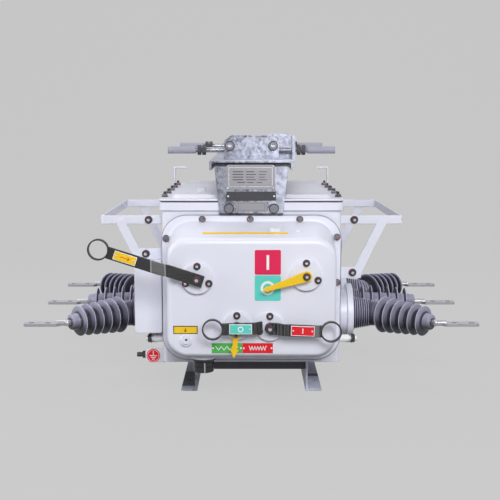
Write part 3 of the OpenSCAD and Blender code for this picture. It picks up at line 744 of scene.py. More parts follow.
class BREAKER_OT_frame_finish(PieceOperator):
    """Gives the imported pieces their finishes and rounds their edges"""

    bl_idname = "breaker.frame_finish"
    bl_label = "Finish Packed Pieces"

    def execute(self, context):
        width = context.scene.breaker_hardware.edge
        for name, nodes in NODE_FINISHES.items():
            for node in nodes:
                piece = frame["nodes"][node]
                piece.data.materials.clear()
                piece.data.materials.append(finish(name))
                self.round_edges(piece, width * (0.6 if node in SOFT_NODES else 1.0))
        return {"FINISHED"}

    @staticmethod
    def round_edges(piece, width):
        mesh = piece.data
        if "custom_normal" in mesh.attributes:
            mesh.attributes.remove(mesh.attributes["custom_normal"])
        mesh.shade_smooth()
        weld = piece.modifiers.new("weld", "WELD")
        weld.merge_threshold = 1e-5
        flat = piece.modifiers.new("flat", "DECIMATE")
        flat.decimate_type = "DISSOLVE"
        flat.angle_limit = math.radians(0.4)
        edge = piece.modifiers.new("edge", "BEVEL")
        edge.width = width
        edge.segments = 2
        edge.limit_method = "ANGLE"
        edge.angle_limit = math.radians(38)
        normal = piece.modifiers.new("normal", "WEIGHTED_NORMAL")
        normal.keep_sharp = False


# The cover's flange, and the shell's width, height and corner radius at its back and its front.
FLANGE_FOOT, FLANGE_TOP, FLANGE_T = 0.084, 0.419, 0.0040
COVER_BASE = (0.378, 0.305, 0.050)
COVER_FACE = (0.372, 0.268, 0.046)
COVER_ROOT, COVER_ROLL, FACE_DROP = 0.006, 0.014, 0.004


class BREAKER_OT_mechanism_cover(PieceOperator):
    """Makes the pressed mechanism cover with its draft and rolled edge, and a grey bead round its flange that
    stands in for the shadow there
    """

    bl_idname = "breaker.mechanism_cover"
    bl_label = "Mechanism Cover"

    def execute(self, context):
        form = Form()
        back, front = COVER_HIGH.y, COVER_LOW.y
        start, end = back - FLANGE_T - COVER_ROOT, front + COVER_ROLL
        middle = (FLANGE_FOOT + FLANGE_TOP) / 2
        flange = (COVER_HIGH.x - COVER_LOW.x, FLANGE_TOP - FLANGE_FOOT, 0.056)
        rows = [(flange, 0, back), (flange, 0, back - FLANGE_T + 0.001)]
        rows.append((self.inset(flange, 0.001), 0, back - FLANGE_T))
        for i in range(5):
            lean, rise = polar(COVER_ROOT, math.pi / 2 * i / 4)
            rows.append((self.inset(COVER_BASE, rise - COVER_ROOT), 0, start + lean))
        for share in (0.12, 0.3, 0.5, 0.7, 0.85):
            outline = [a + (b - a) * share for a, b in zip(COVER_BASE, COVER_FACE)]
            rows.append((outline, -FACE_DROP * share, start + (end - start) * share))
        for i in range(8):
            lean, rise = polar(COVER_ROLL, math.pi / 2 * i / 7)
            rows.append((self.inset(COVER_FACE, COVER_ROLL - lean), -FACE_DROP, end - rise))
        for inset in (0.020, 0.032, 0.043):
            rows.append((self.inset(COVER_FACE, inset), -FACE_DROP, front))
        form.skin([
            form.ring([(x, y, middle + shift + z) for x, z in rounded(*size, 12)], Matrix())
            for size, shift, y in rows
        ])
        socket = (SOCKET_LOW + SOCKET_HIGH) / 2
        pad = Matrix.Translation((socket.x, socket.y, SOCKET_HIGH.z))
        form.lathe(((0.0302, 0.0), (0.0310, 0.0008), (0.0310, 0.03)), pad, 48)
        form.piece("mechanism_cover_shell", ["enamel"], replaces=("mechanism_cover",))
        self.gasket_edge(self.inset(flange, -0.0008), back, middle)
        return {"FINISHED"}

    @staticmethod
    def inset(size, by):
        """Width, height and corner radius of an outline moved inwards."""
        return size[0] - 2 * by, size[1] - 2 * by, max(size[2] - by, 0.002)

    @staticmethod
    def gasket_edge(size, back, middle):
        """A grey bead round the flange: a dark line put where the shadow along the flange's edge falls."""
        form = Form()
        path = [Vector((x, back, middle + z)) for x, z in rounded(*size, 12)]
        form.tube(path, [0.0013] * len(path), True)
        form.piece("cover_gasket_edge", ["sleeve"])


# Radius of the boss under each moving piece, and where its bolts sit, in degrees.
BOSSES = (
    ("charging_lever", 0.035), ("position_pointer", 0.035), ("opening_handle", 0.032),
    ("closing_handle", 0.032),
)
BOSS_BOLT_ANGLES = (90, -22, 202)


class BREAKER_OT_shaft_bosses(PieceOperator):
    """Makes the four round bosses with soft edges"""

    bl_idname = "breaker.shaft_bosses"
    bl_label = "Shaft Bosses"

    def execute(self, context):
        form = Form()
        height, soft, foot = COVER_LOW.y - BOSS_FACE, 0.0028, 0.0012
        for body, radius in BOSSES:
            at = PIVOTS[body]
            arc = [
                (radius - soft + out, height - soft + up)
                for out, up in (polar(soft, a) for a in (0, 0.4, 0.8, 1.2, math.pi / 2))
            ]
            place = facing((at.x, COVER_LOW.y, at.z), TOWARDS_FRONT)
            form.lathe([(radius + foot, 0), (radius, foot)] + arc + [(0.012, height)], place, 64)
        form.piece("boss_discs", ["enamel"], replaces=("shaft_bosses",))
        return {"FINISHED"}


class BREAKER_OT_boss_bolts(PieceOperator):
    """Bolts the bosses to the cover"""

    bl_idname = "breaker.boss_bolts"
    bl_label = "Boss Bolts"

    def execute(self, context):
        form = Form()
        across = context.scene.breaker_hardware.small_head
        for body, radius in BOSSES:
            at, reach = PIVOTS[body], radius - across * 0.62 + 0.0004
            for i, angle in enumerate(BOSS_BOLT_ANGLES):
                x, z = polar(reach, math.radians(angle))
                where = (at.x + x, BOSS_FACE, at.z + z)
                mark, turn = 1.9 + 0.9 * i, 0.3 * i
                bolt(form, where, TOWARDS_FRONT, across, mark=mark, stud=0.0016, turn=turn, bright=2)
        form.piece("boss_bolts", ["blackened", "oxide", "thread"])
        return {"FINISHED"}


# Faces of the lever's and the handle's hubs, the pointer and the arrow, along Y.
HUB_FACE, POINTER_FACE, ARROW_FACE = -0.4355, -0.4335, -0.4240


class BREAKER_OT_pivot_bolts(PieceOperator):
    """Puts a bolt on the end of each shaft"""

    bl_idname = "breaker.pivot_bolts"
    bl_label = "Pivot Bolts"

    def execute(self, context):
        across = context.scene.breaker_hardware.large_head
        for body, front, size in (
            ("charging_lever", HUB_FACE, across), ("position_pointer", POINTER_FACE, across * 0.86),
            ("closing_handle", HUB_FACE, across),
        ):
            form = Form()
            at = (PIVOTS[body].x, front, PIVOTS[body].z)
            bolt(form, at, TOWARDS_FRONT, size, mark=1.5, stud=0.0022, bright=2)
            form.piece(f"{body}_pivot_bolt", ["blackened", "oxide", "thread"], body)
        form = Form()
        at = PIVOTS["energy_arrow"]
        rivet(form, (at.x, ARROW_FACE, at.z), TOWARDS_FRONT, 0.0042)
        form.piece("energy_arrow_rivet", ["bolt_steel"], "energy_arrow")
        return {"FINISHED"}


# Across and up, in millimetres.
FLANGE_BOLTS = ((-112, 410.5), (-3, 410.5), (110, 410.5), (-195, 367), (195, 370), (196.5, 265))


class BREAKER_OT_cover_bolts(PieceOperator):
    """Bolts the cover's flange to the tank"""

    bl_idname = "breaker.cover_bolts"
    bl_label = "Cover Bolts"

    def execute(self, context):
        form = Form()
        across = context.scene.breaker_hardware.small_head
        for i, (x, z) in enumerate(FLANGE_BOLTS):
            at = (x * MM, COVER_HIGH.y - FLANGE_T, z * MM)
            bolt(form, at, TOWARDS_FRONT, across, mark=0.6 + 0.35 * (i % 4), turn=i, ring=2)
        form.piece("cover_bolts", ["bolt_steel", "oxide", "blackened"])
        return {"FINISHED"}


# How far a row of lid bolts is from the middle, where it starts, and its share of the tank's depth.
LID_BOLT_X, LID_BOLT_START, LID_BOLT_ROW = 0.203, -0.23, 0.8


class BREAKER_OT_lid_bolts(PieceOperator):
    """Sets the rows of bolts along both sides of the lid"""

    bl_idname = "breaker.lid_bolts"
    bl_label = "Lid Bolts"

    def execute(self, context):
        sizes = context.scene.breaker_hardware
        form = Form()
        row = LID_BOLT_ROW * (TANK_HIGH.y - TANK_LOW.y)
        for side in SIDES:
            for i in range(int(row / sizes.lid_pitch) + 1):
                at = (side * LID_BOLT_X, LID_BOLT_START + i * sizes.lid_pitch, LID_TOP)
                mark, turn = 0.7 * i, 0.4 * i
                bolt(form, at, (0, 0, 1), sizes.small_head, mark, stud=0.006, turn=turn, bright=2, ring=2)
        form.piece("lid_bolts", ["bolt_steel", "red", "blackened"])
        return {"FINISHED"}


# How far the clamp plates' faces are from the middle.
CLAMP_FACE = 0.219


class BREAKER_OT_frame_bolts(PieceOperator):
    """Bolts the arrester brackets, braces, hanger and clamps"""

    bl_idname = "breaker.frame_bolts"
    bl_label = "Frame Bolts"

    def execute(self, context):
        across = context.scene.breaker_hardware.large_head
        form = Form()
        for side in SIDES:
            places = [mm(side * 238, -262, 406), mm(side * 238, 190, 406), mm(side * 235, 194, 283)]
            places.append(mm(235, -266, 283) if side > 0 else mm(-245, -266, 327))
            for i, at in enumerate(places):
                out = (0, math.copysign(1, at.y), 0)
                mark, turn = 2.2 - 0.3 * i, 0.2 + 0.2 * i
                bolt(form, at, out, across * 0.92, mark, stud=0.002, turn=turn, bright=2)
        form.piece("bracket_bolts", ["blackened", "oxide", "thread"])
        form = Form()
        wide, small = across * 1.15, across * 0.55
        for side in SIDES:
            for end in SIDES:
                at = (side * 0.051, -end * PLATE_FACE, 0.436)
                bolt(form, at, (0, end, 0), wide, turn=0.3 * side, ring=2)
                at = (side * 0.0505, end * CLAMP_FACE, 0.575)
                bolt(form, at, (0, end, 0), wide, stud=0.006, turn=0.5 * side, bright=1, ring=2)
            bolt(form, (-0.0565, side * CLAMP_FACE, 0.5555), (0, side, 0), small, washer=False)
        form.piece("hanger_bolts", ["bolt_steel", "thread", "blackened"])
        return {"FINISHED"}


# Radius of the circle of screws and of the weld on a turret.
SCREW_CIRCLE, WELD_CIRCLE = 0.0665, 0.0635


def turret_circles(x, radius, count, start=0.0):
    """Points round each of the three turrets of one side."""
    around = [polar(radius, a) for a in turns(count, start)]
    return [[Vector((x, y + out, BUSHING_Z + up)) for out, up in around] for y in PHASE_Y]


class BREAKER_OT_turret_bolts(PieceOperator):
    """Sets low domed screws round the clamp rings of the turrets"""

    bl_idname = "breaker.turret_bolts"
    bl_label = "Turret Screws"

    def execute(self, context):
        sizes = context.scene.breaker_hardware
        form = Form()
        radius, rise, floor = sizes.small_head * 0.42, 0.0022, 0.0010
        dome = [(radius * math.cos(a), rise * math.sin(a)) for a in (0, 0.3, 0.6, 0.9, 1.15)]
        socket = [(radius * 0.30, 2 * floor), (radius * 0.28, floor), (radius * 0.05, floor)]
        for side in SIDES:
            for circle in turret_circles(side * TURRET_FACE, SCREW_CIRCLE, sizes.turret_bolts, 0.5):
                for at in circle:
                    form.lathe(dome + socket, facing(at, (side, 0, 0)), 18)
        form.piece("turret_bolts", ["bolt_steel"])
        return {"FINISHED"}


# Bushings, in millimetres and degrees: the bend's place, the ribs' length without a bend, and the splay.
KNUCKLE, STRAIGHT_BASE, SPLAY = 59.0, 38.0, 43.0
# How far past the bend the ribs end, and how far past the bend or the straight ribs the first shed stands.
RIBS_PAST_BEND, BENT_SHED, STRAIGHT_SHED = 12.0, 32.0, 9.0
# The ribs: their number with and without a bend, points to a rib, first radius, taper and depth.
BENT_RIBS, STRAIGHT_RIBS, RIB_STEPS = 13, 7, 6
RIB_FIRST, RIB_TAPER, RIB_DEPTH = 42.0, 12.0, 3.0
# The sheds and their core: first radius and taper, and how far a shed's root reaches back and forward.
SHED_COUNT, SHED_PITCH = 6, 22.7
SHED_FIRST, SHED_TAPER, CORE_FIRST, CORE_TAPER = 45.0, 8.5, 25.0, 4.0
SHED_BACK, SHED_FRONT = 3.8, 3.4
# From the last shed to the end of the neck, and the neck's radius at its flat end and round its edge.
NECK_END, NECK_FLAT, NECK_ROUND = 24.5, 14.0, 5.0
# Name of the attribute that says how deep a point lies between the rims; the silicone's painted shade and rim
# highlights follow it.
DEPTH = "depth"


class BREAKER_OT_bushings(PieceOperator):
    """Moulds the six silicone bushings: fine ribs, a bend on the outer phases, sheds and a neck"""

    bl_idname = "breaker.bushings"
    bl_label = "Bushings"

    def execute(self, context):
        for side, hand in ((-1, "left"), (1, "right")):
            for phase, row in ((FRONT, "front"), (MIDDLE, "middle"), (REAR, "rear")):
                form = Form()
                self.mould(form, side, phase, context.scene.breaker_bushing)
                name = f"bushing_{hand}_{row}"
                form.piece(f"{name}_silicone", ["silicone"], smooth=math.radians(38), replaces=(name,))
        return {"FINISHED"}

    def mould(self, form, side, phase, sizes):
        """Sweeps the profile's rings along the bushing's bent axis."""
        bend = sizes.bend / MM
        half = bend * math.tan(math.radians(SPLAY / 2))
        splay = math.radians(SPLAY) * phase
        if phase:
            profile = self.profile(BENT_RIBS, KNUCKLE + RIBS_PAST_BEND, KNUCKLE + BENT_SHED, sizes, True)
        else:
            base = STRAIGHT_BASE
            profile = self.profile(STRAIGHT_RIBS, base, base + STRAIGHT_SHED, sizes, False)
        rings = []
        depth = form.bm.verts.layers.float.new(DEPTH)
        for radius, along, deep in profile:
            turn, x, y = 0.0, along, 0.0
            if phase and along > KNUCKLE - half:
                turn = splay * min(1.0, (along - KNUCKLE + half) / (2 * half))
                x = KNUCKLE - half + bend * math.sin(abs(turn))
                y = bend * (1 - math.cos(turn)) * phase
                if along > KNUCKLE + half:
                    x = KNUCKLE + (along - KNUCKLE) * math.cos(splay)
                    y = (along - KNUCKLE) * math.sin(splay)
            points = []
            for out, up in (polar(radius, a) for a in turns(sizes.segments)):
                points.append((
                    side * (TURRET_FACE + (x - out * math.sin(turn)) * MM),
                    PHASE_Y[phase + 1] + (y + out * math.cos(turn)) * MM, BUSHING_Z + up * MM,
                ))
            rings.append(form.ring(points, Matrix()))
            for vert in rings[-1]:
                vert[depth] = deep
        form.skin(rings)

    @staticmethod
    def profile(ribs, rib_end, first, sizes, elbow):
        """Radius and distance along the axis, in millimetres, and how deep a point lies between the rims."""
        rim, fillet = sizes.rim / MM, sizes.fillet / MM
        dim = 1.0 if elbow else 0.42
        points = []
        for i in range(ribs * RIB_STEPS):
            share = i / (ribs * RIB_STEPS)
            wave = (1 + math.cos(2 * math.pi * i / RIB_STEPS)) / 2
            radius = RIB_FIRST - RIB_TAPER * share - RIB_DEPTH * wave
            points.append((radius, share * rib_end, 0.95 * wave))
        if elbow:
            points += [(27.0, rib_end + 1, 0.6), (26.0, rib_end + 4, 0.6), (25.3, first - 12, 0.8)]
        for i in range(SHED_COUNT):
            share = i / (SHED_COUNT - 1)
            at = first + i * SHED_PITCH
            shed, core = SHED_FIRST - SHED_TAPER * share, CORE_FIRST - CORE_TAPER * share
            inner, middle = core + fillet, (core + shed) / 2
            tip, back, front = at - 0.5, at - SHED_BACK, at + SHED_FRONT
            points += [
                (core, back - fillet, dim), (core + 0.3 * fillet, back - 0.3 * fillet, dim),
                (inner, back, 1.0), (middle, at - 2.9, 0.9), (shed - 2.5 * rim, tip - 1.4 * rim, 0.6),
            ]
            for a in (-1.4, -0.9, -0.45, 0, 0.45, 0.9, 1.3):
                out, along = polar(rim, a)
                points.append((shed - rim + out, tip + along, 0.12 * abs(a)))
            points += [
                (shed - 2.5 * rim, tip + 1.4 * rim, 0.2), (shed * 0.7 + core * 0.3, at + 1.9, 0.25),
                (middle, at + 2.4, 0.30), (inner, front, 0.70 * dim),
                (core + 0.3 * fillet, front + 0.3 * fillet, 0.85 * dim), (core, front + fillet, 0.95 * dim),
            ]
        end = first + (SHED_COUNT - 1) * SHED_PITCH + NECK_END
        points += [(20.4, end - 16.0, 0.5), (19.2, end - 14.5, 0.25)]
        for a in (0, 0.4, 0.8, 1.2, 1.55):
            out, along = polar(NECK_ROUND, a)
            points.append((NECK_FLAT + out, end - NECK_ROUND + along, 0.2))
        return points + [(10.0, end, 0.6), (9.4, end - 0.8, 1.0), (7.4, end - 0.8, 1.0)]


class BREAKER_OT_tie_rods(PieceOperator):
    """Cuts the thread on the tie rods"""

    bl_idname = "breaker.tie_rods"
    bl_label = "Tie Rods"

    def execute(self, context):
        pitch = context.scene.breaker_hardware.thread_pitch
        low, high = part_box("tie_rods")
        crest, root, sides = 0.0065, 0.0056, 20
        middle_y, z = (abs(low.y) + abs(high.y)) / 2 - crest, (low.z + high.z) / 2
        steps = int((high.x - low.x) / pitch * 4)
        form = Form()
        for end in SIDES:
            rings = []
            for i in range(steps + 1):
                x = low.x + (high.x - low.x) * i / steps
                ring = []
                for k, a in enumerate(turns(sides)):
                    wave = abs(((x / pitch - k / sides) % 1.0) * 2 - 1)
                    out, up = polar(root + (crest - root) * min(1.0, wave * 1.25), a)
                    ring.append((x, end * middle_y + out, z + up))
                rings.append(form.ring(ring, Matrix()))
            form.skin(rings)
        form.piece("threaded_rods", ["thread"], replaces=("tie_rods",), smooth=math.radians(70))
        return {"FINISHED"}


class BREAKER_OT_welds(PieceOperator):
    """Runs weld beads round the turrets, brackets, hooks and earth lug"""

    bl_idname = "breaker.welds"
    bl_label = "Weld Beads"

    def execute(self, context):
        radius = context.scene.breaker_hardware.bead
        form = Form()
        wall = TANK_HIGH.x - 0.006
        for side in SIDES:
            for circle in turret_circles(side * wall, WELD_CIRCLE, 220):
                bead(form, circle, radius, closed=True)
            for y in (-0.262, 0.190):
                bead(form, straight((side * wall, y, 0.3960), (side * wall, y, 0.4160)), radius * 0.9)
            x = side * HOOK_HIGH.x
            bead(form, straight((x, HOOK_LOW.y, LID_TOP), (x, HOOK_HIGH.y, LID_TOP)), radius * 0.7)
        bead(form, straight((-wall, LUG_LOW.y, LUG_LOW.z), (-wall, LUG_LOW.y, LUG_HIGH.z)), radius * 0.8)
        form.piece("weld_beads", ["enamel"])
        return {"FINISHED"}


# Rounding of the ink's edge.
INK_EDGE = 0.00004


class Plate:
    """A label plate: a frame in its middle, its size, and the form that it is drawn in."""

    def __init__(self, at, width, height, out=TOWARDS_FRONT, up=(0, 0, 1)):
        self.sizes = bpy.context.scene.breaker_plate
        self.form = Form()
        self.width, self.height = width, height
        self.place = facing(at, out, Vector(up))
        self.top = self.sizes.thickness

    def blank(self, material=0, corner=None, edge=0.00035):
        """The bare plate."""
        corner = self.sizes.corner if corner is None else corner
        outline = rounded(self.width, self.height, corner)
        inner = rounded(self.width - 2 * edge, self.height - 2 * edge, max(corner - edge, 0.0004))
        self.form.slab(outline, inner, self.place, 0.0, self.top, edge, material)
        return self

    def printed(self, outline, material):
        """A printed field of any outline."""
        ink = self.sizes.ink
        self.form.slab(outline, outline, self.place, self.top - ink, self.top + ink, INK_EDGE, material)

    def panel(self, margin, material, corner):
        """A printed field that leaves a border round it."""
        self.printed(rounded(self.width - 2 * margin, self.height - 2 * margin, corner, 4), material)
        self.top += self.sizes.ink
        return self

    def stroke(self, points, width, material):
        """A printed line through points on the plate."""
        for first, last in zip(points, points[1:]):
            first, last = Vector(first), Vector(last)
            along = (last - first).normalized()
            side, tip = Vector((-along.y, along.x)) * width / 2, along * width * 0.3
            first, last = first - tip, last + tip
            self.printed([first + side, first - side, last - side, last + side], material)
        return self

    def border(self, x, y, width, material):
        """A printed rectangle."""
        return self.stroke([(-x, -y), (x, -y), (x, y), (-x, y), (-x, -y)], width, material)

    def circle(self, outer, width, material, steps=40):
        """A printed ring."""
        inner, low, high = outer - width, self.top - self.sizes.ink, self.top + self.sizes.ink
        rings = [
            self.form.ring([(*polar(r, a), h) for a in turns(steps)], self.place)
            for r, h in ((inner, low), (outer, low), (outer, high), (inner, high))
        ]
        self.form.skin(rings + rings[:1], material, caps=False)
        return self

    def rivets(self, x, y, material):
        """Rivets at the plate's ends, or at its corners."""
        for sx in SIDES:
            for sy in SIDES if y else (1,):
                at = self.place @ Vector((sx * x, sy * y, self.sizes.thickness))
                rivet(self.form, at, self.place.to_3x3() @ Vector((0, 0, 1)), self.sizes.rivet, material)
        return self

    def piece(self, name, materials, body=FIXED):
        """Makes the object."""
        self.form.piece(name, materials, body)


class BREAKER_OT_position_plates(PieceOperator):
    """Makes the plates for the closed and the open position, with their I and O marks"""

    bl_idname = "breaker.position_plates"
    bl_label = "Position Plates"

    def execute(self, context):
        x, width = 0.0355, 0.057
        closed = Plate((x, COVER_LOW.y, 0.3278), width, 0.0544).blank()
        closed.stroke([(0, -0.0145), (0, 0.0145)], 0.0056, 1).piece("closed_plate", ["crimson", "white"])
        opened = Plate((x, COVER_LOW.y, 0.2710), width, 0.0560).blank()
        opened.circle(0.0155, 0.0052, 1).piece("open_plate", ["turquoise", "white"])
        return {"FINISHED"}


def zigzag(half, pitch, rise):
    """The sign for a spring."""
    return [(i * pitch, -rise if i % 2 else rise) for i in range(-half, half + 1)]


class BREAKER_OT_spring_plates(PieceOperator):
    """Makes the green and red plates that the energy arrow points at, each with the sign for a spring"""

    bl_idname = "breaker.spring_plates"
    bl_label = "Spring Plates"

    def execute(self, context):
        for name, x, tint, spring in (
            ("rest", -0.0540, "green", zigzag(4, 0.0062, 0.0042)),
            ("charged", 0.0135, "red", zigzag(6, 0.0031, 0.0052)),
        ):
            plate = Plate((x, COVER_LOW.y, 0.1370), 0.0672, 0.0225).blank(corner=0.001)
            plate.stroke(spring, 0.0015, 1).rivets(0.0305, 0, 1)
            plate.piece(f"spring_{name}_plate", [tint, "white"])
        return {"FINISHED"}


# Where the plates sit on the lever and the handles, along Y.
PLATE_SEAT = -0.4455


class BREAKER_OT_handle_plates(PieceOperator):
    """Makes the small plates on the lever and the handles, which move with them"""

    bl_idname = "breaker.handle_plates"
    bl_label = "Handle Plates"

    def execute(self, context):
        opening = self.bordered("opening_handle", 0.0, 0.0085, (0.0490, 0.0220), 0.0014)
        opening.circle(0.0062, 0.0021, 1).rivets(0.0195, 0, 2)
        opening.piece("opening_plate", ["turquoise", "white", "thread"], "opening_handle")
        closing = self.bordered("closing_handle", 2.0, 0.0705, (0.0510, 0.0220), 0.0014)
        closing.stroke([(0, -0.0050), (0, 0.0050)], 0.0022, 1).rivets(0.0205, 0, 2)
        closing.piece("closing_plate", ["red", "white", "thread"], "closing_handle")
        lever = self.bordered("charging_lever", 17.85, -0.1600, (0.0500, 0.0195), 0.00115)
        lever.stroke([(-0.010, 0), (0.010, 0)], 0.0014, 3)
        lever.stroke([(0.006, 0.0035), (0.010, 0), (0.006, -0.0035)], 0.0014, 3).rivets(0.0198, 0, 2)
        lever.piece("lever_plate", ["yellow", "white", "thread", "red"], "charging_lever")
        return {"FINISHED"}

    @staticmethod
    def bordered(body, tilt, reach, size, margin):
        """A plate with a border, on a bar that falls to the right by tilt degrees."""
        fall = math.radians(tilt)
        along = Vector((math.cos(fall), 0, -math.sin(fall)))
        up = Vector((math.sin(fall), 0, math.cos(fall)))
        at = Vector((PIVOTS[body].x, PLATE_SEAT, PIVOTS[body].z)) + along * reach
        return Plate(at, *size, up=up).blank(1, 0.0012).panel(margin, 0, 0.0008)


# The sloping top of the cover, at its back and its front.
SLOPE_BACK, SLOPE_FRONT = Vector((0, -0.305, 0.404)), Vector((0, -0.394, 0.3815))
SLOPE = (SLOPE_FRONT - SLOPE_BACK).normalized()
SLOPE_OUT = Vector((0, SLOPE.z, -SLOPE.y))


def on_slope(x, y):
    """A point on the sloping top of the cover."""
    share = (y - SLOPE_BACK.y) / (SLOPE_FRONT.y - SLOPE_BACK.y)
    return SLOPE_BACK.lerp(SLOPE_FRONT, share) + Vector((x, 0, 0))


class BREAKER_OT_cover_plates(PieceOperator):
    """Makes the yellow plate over the valve and the bare yellow strip on top of the cover"""

    bl_idname = "breaker.cover_plates"
    bl_label = "Cover Plates"

    def execute(self, context):
        valve = Plate((-0.1450, COVER_LOW.y, 0.1780), 0.0535, 0.0178)
        valve.blank(1, 0.0010).panel(0.00175, 0, 0.0006)
        valve.stroke([(0, 0.004), (0, -0.004)], 0.0013, 1)
        valve.stroke([(-0.0028, -0.001), (0, -0.004), (0.0028, -0.001)], 0.0013, 1)
        valve.piece("valve_plate", ["yellow", "black"])
        at = on_slope(-0.014, -0.372) + SLOPE_OUT * 0.0002
        strip = Plate(at, 0.188, 0.0090, out=SLOPE_OUT, up=-SLOPE).blank(0, 0.0012)
        strip.piece("cover_strip", ["yellow"])
        return {"FINISHED"}


class BREAKER_OT_data_plates(PieceOperator):
    """Makes the data plates on the front of the hanger, with ruled borders and lines and no text"""

    bl_idname = "breaker.data_plates"
    bl_label = "Data Plates"

    def execute(self, context):
        plate = Plate((-0.002, PLATE_FACE, 0.5070), 0.1100, 0.0560).blank(0, 0.0060)
        plate.border(0.0490, 0.0215, 0.0014, 2)
        for i, ends in enumerate((0.040, 0.040, 0.040, 0.040, 0.030)):
            y = 0.012 - 0.006 * i
            plate.stroke([(-ends, y), (-ends * 0.42, y)], 0.0017, 1)
            plate.stroke([(-ends * 0.24, y), (ends * (0.20 + 0.08 * (i % 2)), y)], 0.0015, 1)
            plate.stroke([(ends * 0.48, y), (ends * (0.92 - 0.06 * (i % 3)), y)], 0.0012, 1)
        plate.rivets(0.0515, 0.0245, 2)
        plate.piece("data_plate", ["plate_metal", "black", "thread"])
        strip = Plate((-0.0007, PLATE_FACE, 0.4637), 0.1120, 0.0205).blank(0, 0.0010)
        strip.rivets(0.0520, 0, 1).piece("dark_plate", ["blackened", "white"])
        lower = Plate((0.0, PLATE_FACE, 0.4400), 0.0700, 0.0225).blank(0, 0.0010)
        lower.border(0.030, 0.008, 0.0006, 1).piece("lower_plate", ["plate_metal", "blackened"])
        return {"FINISHED"}


class BREAKER_OT_earth_mark(PieceOperator):
    """Makes the red earth disc with its sign, and the bolt of the earth lug"""

    bl_idname = "breaker.earth_mark"
    bl_label = "Earth Mark"

    def execute(self, context):
        level, line = (LUG_LOW.z + LUG_HIGH.z) / 2, 0.0018
        disc = Plate((-0.2305, LUG_LOW.y, level), 0.0320, 0.0320).blank(0, 0.0158).circle(0.0138, 0.0007, 1)
        disc.stroke([(0, 0.0098), (0, 0.0005)], line, 1)
        for y, half in ((0.0, 0.0082), (-0.0042, 0.0055), (-0.0084, 0.0028)):
            disc.stroke([(-half, y), (half, y)], line, 1)
        disc.piece("earth_disc", ["red", "white"])
        form = Form()
        across, y = context.scene.breaker_hardware.large_head, LUG_HIGH.y + 0.0055
        shaft = Matrix.Translation((TANK_LOW.x + 0.006, y, level)) @ Matrix.Rotation(-math.pi / 2, 4, "Y")
        form.lathe(((0.0055, -0.002), (0.0055, 0.0640), (0.0046, 0.0650)), shaft, 24)
        bolt(form, (LUG_LOW.x - 0.0010, y, level), (-1, 0, 0), across * 0.95, stud=0.004)
        form.piece("earth_bolt", ["blackened"])
        return {"FINISHED"}


class BREAKER_OT_fittings(PieceOperator):
    """Makes the cable socket, the valve cap, the stud nuts and the small caps on the cover"""

    bl_idname = "breaker.fittings"
    bl_label = "Small Fittings"

    def execute(self, context):
        self.cable_socket()
        self.fill_valve()
        self.stud_nuts()
        self.cover_caps()
        return {"FINISHED"}

    @staticmethod
    def cable_socket():
        """A flanged round socket with two grooves, an open end and a locating key."""
        form = Form()
        middle, tall = (SOCKET_LOW + SOCKET_HIGH) / 2, SOCKET_HIGH.z - SOCKET_LOW.z
        down = Matrix.Rotation(math.pi, 4, "X")
        place = Matrix.Translation((middle.x, middle.y, SOCKET_HIGH.z)) @ down
        form.lathe((
            (0.012, 0), (0.0262, 0), (0.0270, 0.0008), (0.0270, 0.0042), (0.0262, 0.0050), (0.0222, 0.0054),
            (0.0218, 0.0060), (0.0218, 0.0075), (0.0230, 0.0085), (0.0230, 0.0165), (0.0222, 0.0172),
            (0.0222, 0.0190), (0.0230, 0.0198), (0.0230, tall - 0.0012), (0.0220, tall), (0.0186, tall),
            (0.0180, tall - 0.0008), (0.0180, tall - 0.018), (0.002, tall - 0.018),
        ), place, 64)
        key = turned(place, math.radians(82))
        form.box((0.0215, -0.0011, 0.0085), (0.0236, 0.0011, tall - 0.0015), key, 1)
        form.piece("cable_socket_shell", ["socket_alloy", "thread"], replaces=("cable_socket",))

    @staticmethod
    def fill_valve():
        """A stepped cap with a hexagon and a small vent."""
        form = Form()
        low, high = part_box("fill_valve")
        middle = (low + high) / 2
        place = facing((middle.x, high.y, middle.z), TOWARDS_FRONT)
        form.lathe((
            (0.0145, 0), (0.0145, 0.0012), (0.0135, 0.0020), (0.0135, 0.0042), (0.0126, 0.0050),
            (0.0090, 0.0050), (0.0086, 0.0046), (0.001, 0.0046),
        ), place, 40)
        form.hexagon(0.0150, 0.0046, 0.0090, turned(place, 0.4))
        vent = place @ Matrix.Translation((0.001, 0.003, 0))
        form.lathe(((0.0026, 0.0085), (0.0026, 0.0094), (0.0004, 0.0094)), vent, 16, 1)
        form.piece("fill_valve_cap", ["enamel", "blackened"], replaces=("fill_valve",))

    @staticmethod
    def stud_nuts():
        """A nut on each of the two wall studs at the front."""
        form = Form()
        for side in SIDES:
            bolt(form, (side * 0.2340, -0.266, STUD_Z), (side, 0, 0), 0.018, stud=0.002)
        form.piece("stud_nuts", ["blackened"])

    @staticmethod
    def cover_caps():
        """A large and a small cap on the cover's sloping top."""
        form = Form()
        for x, y, radius, tall in ((0.053, -0.352, 0.0120, 0.0065), (0.104, -0.360, 0.0060, 0.0030)):
            form.lathe((
                (radius * 1.05, -0.001), (radius, tall * 0.3), (radius * 0.97, tall * 0.8),
                (radius * 0.85, tall), (radius * 0.2, tall),
            ), facing(on_slope(x, y), SLOPE_OUT), 28)
        form.piece("cover_caps", ["enamel"])


# The backdrop: the floor's bounds, the curve to the wall, and its shares of lit and of even grey.
FLOOR_HALF, FLOOR_FRONT, FLOOR_BACK = 9.0, -6.0, 2.5
CURVE, CURVE_STEPS, WALL_TOP = 1.5, 12, 6.0
FLOOR_LIT, FLOOR_GLOW = 0.42, 0.86


